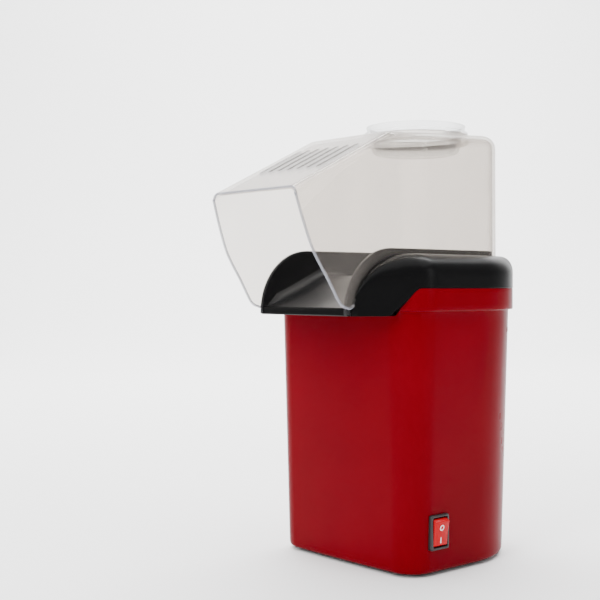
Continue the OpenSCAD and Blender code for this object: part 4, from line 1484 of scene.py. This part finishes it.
@dataclass
class RockerSwitch:
    """The rocker switch low on the side: a snap-in frame and a two-ended rocker."""

    y: float = -40.8
    z: float = 27.5
    back: float = 61.961
    face: float = 65.461
    half_w: float = 8.0
    half_h: float = 10.8
    window_w: float = 6.4
    window_h: float = 9.2
    body_w: float = 7.6
    body_h: float = 10.4
    body_x: float = 49.0
    floor_x: float = 50.6
    pivot: float = 61.461
    rocker_radius: float = 9.0
    rocker_half: float = 6.15
    tilt: float = 8.0

    def recess(self) -> Solid:
        """The shallow flat that the frame lies on."""
        edge = rounded_box(self.half_w + 0.1, self.half_h + 0.1, 0.8)
        plan = [(self.y + a, self.z + b) for a, b in edge]
        return Solid("switch_recess").prism(plan, self.back, 90, "X")

    def cutout(self) -> Solid:
        """The hole for the switch's body."""
        plan = [(self.y + a, self.z + b) for a, b in rounded_box(7.7, 10.5, 0.4)]
        return Solid("switch_cutout").prism(plan, 48, 90, "X")

    def ring(self, half_a: float, half_b: float, radius: float, x: float) -> list[Point3]:
        """A rounded rectangle across the X axis."""
        return [(x, self.y + a, self.z + b) for a, b in rounded_box(half_a, half_b, radius, 5)]

    def build(self, paint: Paint) -> None:
        """Makes the frame and the rocker with its marks, and dresses them."""
        self.frame(paint)
        self.rocker(paint)
        self.marks(paint)

    def frame(self, paint: Paint) -> None:
        """Makes the switch's frame and its body."""
        w, h, face = self.half_w, self.half_h, self.face
        window, body = (self.window_w, self.window_h), (self.body_w, self.body_h)
        steps = [
            (w, h, 1.1, self.back + 0.02), (w, h, 1.1, face - 0.9),
            (w - 0.1, h - 0.1, 1.05, face - 0.45), (w - 0.4, h - 0.4, 0.95, face - 0.12),
            (w - 0.8, h - 0.8, 0.9, face), (6.75, 9.55, 0.6, face - 0.04), (6.5, 9.3, 0.5, face - 0.25),
            (*window, 0.45, face - 0.7), (*window, 0.4, self.floor_x), (0.3, 0.3, 0.1, self.floor_x),
            (0.3, 0.3, 0.1, self.body_x), (*body, 0.5, self.body_x), (*body, 0.5, self.back + 0.02),
        ]
        rows = [self.ring(*step) for step in steps]
        piece = Solid("rocker_frame").rows([*rows, rows[0]], True).build()
        complete(piece, 40, paint.of(Finish.SWITCH), "base", "switch_black", "switch_frame")

    def tilted(self, point: Vector) -> Vector:
        """Puts a point of the level rocker into its rest tilt."""
        lean = math.radians(self.tilt)
        x, z = point.x, point.z
        turned = (x * math.cos(lean) + z * math.sin(lean), z * math.cos(lean) - x * math.sin(lean))
        return Vector((self.pivot + turned[0], self.y + point.y, self.z + turned[1]))

    def valley(self, z: float) -> float:
        """The rocker's face at a height from its pivot."""
        end = self.rocker_radius * 0.84
        return 4.55 + 0.4 * min(1.0, abs(z) / end) ** 1.4

    def rocker(self, paint: Paint) -> None:
        """Makes the rocker and its pin."""
        radius, half = self.rocker_radius, self.rocker_half
        face = [(self.valley(z), z) for z in [-7.4 + 14.8 * i / 16 for i in range(17)]]
        tip = [(4.75, 7.62), (4.45, 7.8), (3.2, 8.4), (1.6, 8.84)]
        under = [(1.3, 8.6), (-1.2, 6.0), (-3.0, 1.8), (-3.0, -1.8), (-1.2, -6.0), (1.3, -8.6)]
        outline = [*face, *tip, *under, *[(x, -z) for x, z in reversed(tip)]]
        rows = []
        ends = [(-half, 0.35), (-half + 0.12, 0.1), (-half + 0.4, 0.0)]
        ends += [(half - 0.4, 0.0), (half - 0.12, 0.1), (half, 0.35)]
        for y, inset in ends:
            rows.append([(x - inset * (x > 3), y, z * (1 - inset / radius)) for x, z in outline])
        body = Solid("rocker_key").rows(rows, True, True).build(self.tilted)
        pin = Solid("rocker_pin").prism(arc((0, 0), 1.2, 0, 360, 24)[:-1], -6.8, 6.8)
        pin_turn = Matrix.Rotation(math.radians(90), 4, "X")
        pin_piece = pin.build(lambda p: self.tilted(pin_turn @ p))
        whole = join([body, pin_piece], "rocker_red_key")
        complete(whole, 38, paint.of(Finish.ROCKER), "rocker_body", "rocker_red", "switch_rocker")

    def on_face(self, plan: Sequence[Point2], lift: float) -> list[Point3]:
        """Lays an outline on the level rocker's curved face, lifted off it."""
        return [(self.valley(z) + lift, y, z) for y, z in plan]

    def marks(self, paint: Paint) -> None:
        """Makes the two raised marks, a ring and a bar."""
        sunk, raised = -0.1, 0.07
        ring = arc((0, 3.6), 1.85, 0, 360, 40)[:-1]
        hole = arc((0, 3.6), 1.2, 0, 360, 40)[:-1]
        bar = [(a, b - 4.3) for a, b in rounded_box(0.36, 1.8, 0.3, 4)]
        edges = [(ring, sunk), (ring, raised), (hole, raised), (hole, sunk), (ring, sunk)]
        marks = Solid("rocker_marks")
        marks.rows([self.on_face(plan, lift) for plan, lift in edges], True)
        marks.rows([self.on_face(bar, lift) for lift in (sunk, raised)], True, True)
        complete(marks.build(self.tilted), 40, paint.of(Finish.MARK), "rocker_body", "rocker_red")


@dataclass
class Gland:
    """The ribbed rubber grommet low in the back wall."""

    wall_y: float = 62.3
    z: float = 20.0
    bore: float = 3.5

    def lay(self, point: Vector) -> Vector:
        """Turns a form made along Z so that it lies along Y at the gland."""
        return Vector((point.x, point.z, self.z - point.y))

    def hole(self) -> Solid:
        """The hole in the housing's wall."""
        return Solid("gland_hole").prism(arc((0, 0), 6.0, 0, 360, 48)[:-1], 50, 78)

    def build(self, paint: Paint) -> None:
        """Makes the grommet and dresses it."""
        inner, outer = self.wall_y - 5.4, self.wall_y + 3.0
        profile = [(self.bore, inner), (7.6, inner), (8.0, inner + 0.4), (8.0, inner + 2.0)]
        profile += [(7.6, inner + 2.4), (5.9, inner + 2.4), (5.9, self.wall_y + 0.9)]
        profile += [(7.2, self.wall_y + 0.9), (7.6, self.wall_y + 1.2), (7.6, outer - 1.2)]
        profile += [(7.3, outer - 0.6), (6.6, outer - 0.2), (5.4, outer - 0.25), (5.0, outer - 0.6)]
        profile += [(4.5, outer - 0.25), (3.9, outer), (self.bore, outer - 0.4)]
        piece = Solid("cord_grommet").lathe(profile, (0, 0), 64).build(self.lay)
        complete(piece, 38, paint.of(Finish.RUBBER), "base", "gland_rubber", "cord_gland")


@dataclass
class Feet:
    """Four rubber feet."""

    spots: tuple[Point2, ...] = ((38.0, -46.0), (-38.0, -46.0), (27.0, 42.0), (-27.0, 42.0))
    radius: float = 6.0
    top: float = 4.2

    def build(self, paint: Paint) -> None:
        """Makes the feet and dresses them."""
        profile = [(0.0, 0.35), (2.2, 0.35), (2.6, 0.0), (self.radius - 0.7, 0.0)]
        profile += [
            (self.radius - 0.2, 0.2),
            (self.radius, 0.7),
            (self.radius, self.top),
            (0.0, self.top),
        ]
        pads = Solid("rubber_feet")
        for spot in self.spots:
            pads.lathe(profile, spot, 40)
        complete(pads.build(), 40, paint.of(Finish.RUBBER), "base", "foot_rubber", "feet")


# ---------------------------------------------------------------------- studio


@dataclass
class Studio:
    """The pale floor, the lights and the camera."""

    eye: Point3 = (0.533, -0.5622, 0.1786)
    turn: float = 49.0
    pitch: float = -0.65
    lens: float = 67.8

    def build(self) -> None:
        """Sets up the floor, the world, the lights and the camera."""
        self.floor()
        self.world()
        self.light("key_softbox", (0.30, -1.25, 0.85), (0.0, 0.0, 0.13), (0.35, 0.9), 16.0)
        self.light("side_softbox", (1.35, 0.35, 0.6), (0.0, 0.0, 0.12), (0.3, 0.9), 5.0)
        self.light("top_softbox", (-0.1, 0.1, 1.6), (0.0, 0.0, 0.15), (2.4, 2.4), 70.0)
        self.light("left_softbox", (-1.2, -0.7, 0.8), (0.0, 0.0, 0.15), (0.6, 1.0), 6.0)
        self.light("backdrop_softbox", (-1.0, 0.87, 2.6), (-2.4, 2.1, 0.5), (3.0, 1.0), 330.0)
        self.camera()

    def floor(self) -> None:
        """Makes a pale sweep behind and under the object."""
        start, bend = 2.0, 1.5
        turns = [math.pi / 24 * i for i in range(1, 13)]
        curve = [(start + bend * math.sin(t), bend - bend * math.cos(t)) for t in turns]
        profile = [(-6.0, 0.0), (start, 0.0), *curve, (start + bend, 6.0)]
        rows = [[(x / MM, y / MM, z / MM) for y, z in profile] for x in (-8.0, 8.0)]
        sweep = Solid("studio_floor").rows(rows, False).build(self.behind)
        soften(sweep, 60)
        shader = Shader("studio_paper")
        drift = shader.noise(1.5, 2.0)
        surface = {
            "Base Color": shader.blend(drift, (0.86, 0.86, 0.86), (0.90, 0.90, 0.90)),
            "Roughness": drift * 0.1 + 0.7,
        }
        sweep.data.materials.append(shader.close(surface))

    def behind(self, point: Vector) -> Vector:
        """Turns the sweep to stand behind the object as the camera sees it."""
        return Matrix.Rotation(math.radians(self.turn), 4, "Z") @ point

    def world(self) -> None:
        """Sets an even pale surround."""
        world = bpy.data.worlds.new("studio_air")
        bpy.context.scene.world = world
        world.use_nodes = True
        sky = world.node_tree.nodes["Background"]
        sky.inputs["Color"].default_value = (1.0, 1.0, 1.0, 1.0)
        sky.inputs["Strength"].default_value = 0.45

    def light(self, name: str, at: Point3, aim: Point3, size: Point2, power: float) -> None:
        """Adds a rectangular soft light.

        Args:
            name: the light's name.
            at: its place in metres.
            aim: where it points.
            size: its width and height.
            power: its power in watts.
        """
        data = bpy.data.lights.new(name, "AREA")
        data.shape = "RECTANGLE"
        data.size, data.size_y = size
        data.energy = power
        lamp = bpy.data.objects.new(name, data)
        lamp.location = Vector(at) + AXIS * MM
        lamp.rotation_euler = (Vector(aim) - Vector(at)).to_track_quat("-Z", "Y").to_euler()
        bpy.context.scene.collection.objects.link(lamp)

    def camera(self) -> None:
        """Adds the camera and makes it the scene's own."""
        data = bpy.data.cameras.new("studio_camera")
        data.lens = self.lens
        data.sensor_width = 36.0
        eye = bpy.data.objects.new("studio_camera", data)
        eye.location = Vector(self.eye) + AXIS * MM
        eye.rotation_euler = (math.radians(90 + self.pitch), 0.0, math.radians(self.turn))
        bpy.context.scene.collection.objects.link(eye)
        bpy.context.scene.camera = eye


def dress_cad_nodes(frame: dict, paint: Paint) -> None:
    """Gives the carried-over nodes their finishes.

    Args:
        frame: the loaded frame.
        paint: the materials.
    """
    for name, finish in CAD_FINISHES.items():
        node = frame["nodes"][name]
        if not node.data.materials:
            node.data.materials.append(paint.of(finish))
        for slot in range(len(node.data.materials)):
            node.material_slots[slot].material = paint.of(finish)
        LOG.info("%s keeps its shape and is finished in %s", name, finish.value.name)


def main() -> None:
    """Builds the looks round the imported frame."""
    logging.basicConfig(level=logging.INFO, format="%(message)s")
    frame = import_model()
    paint = Paint()
    seam = Seam()
    switch = RockerSwitch()
    gland = Gland()
    Studio().build()
    Housing(seam=seam).build(paint, switch, gland)
    Collar(seam=seam).build(paint)
    ChuteLiner().build(paint)
    Hood().build(paint)
    MeasuringCup().build(paint)
    switch.build(paint)
    gland.build(paint)
    Feet().build(paint)
    dress_cad_nodes(frame, paint)


if __name__ == "__main__":
    main()
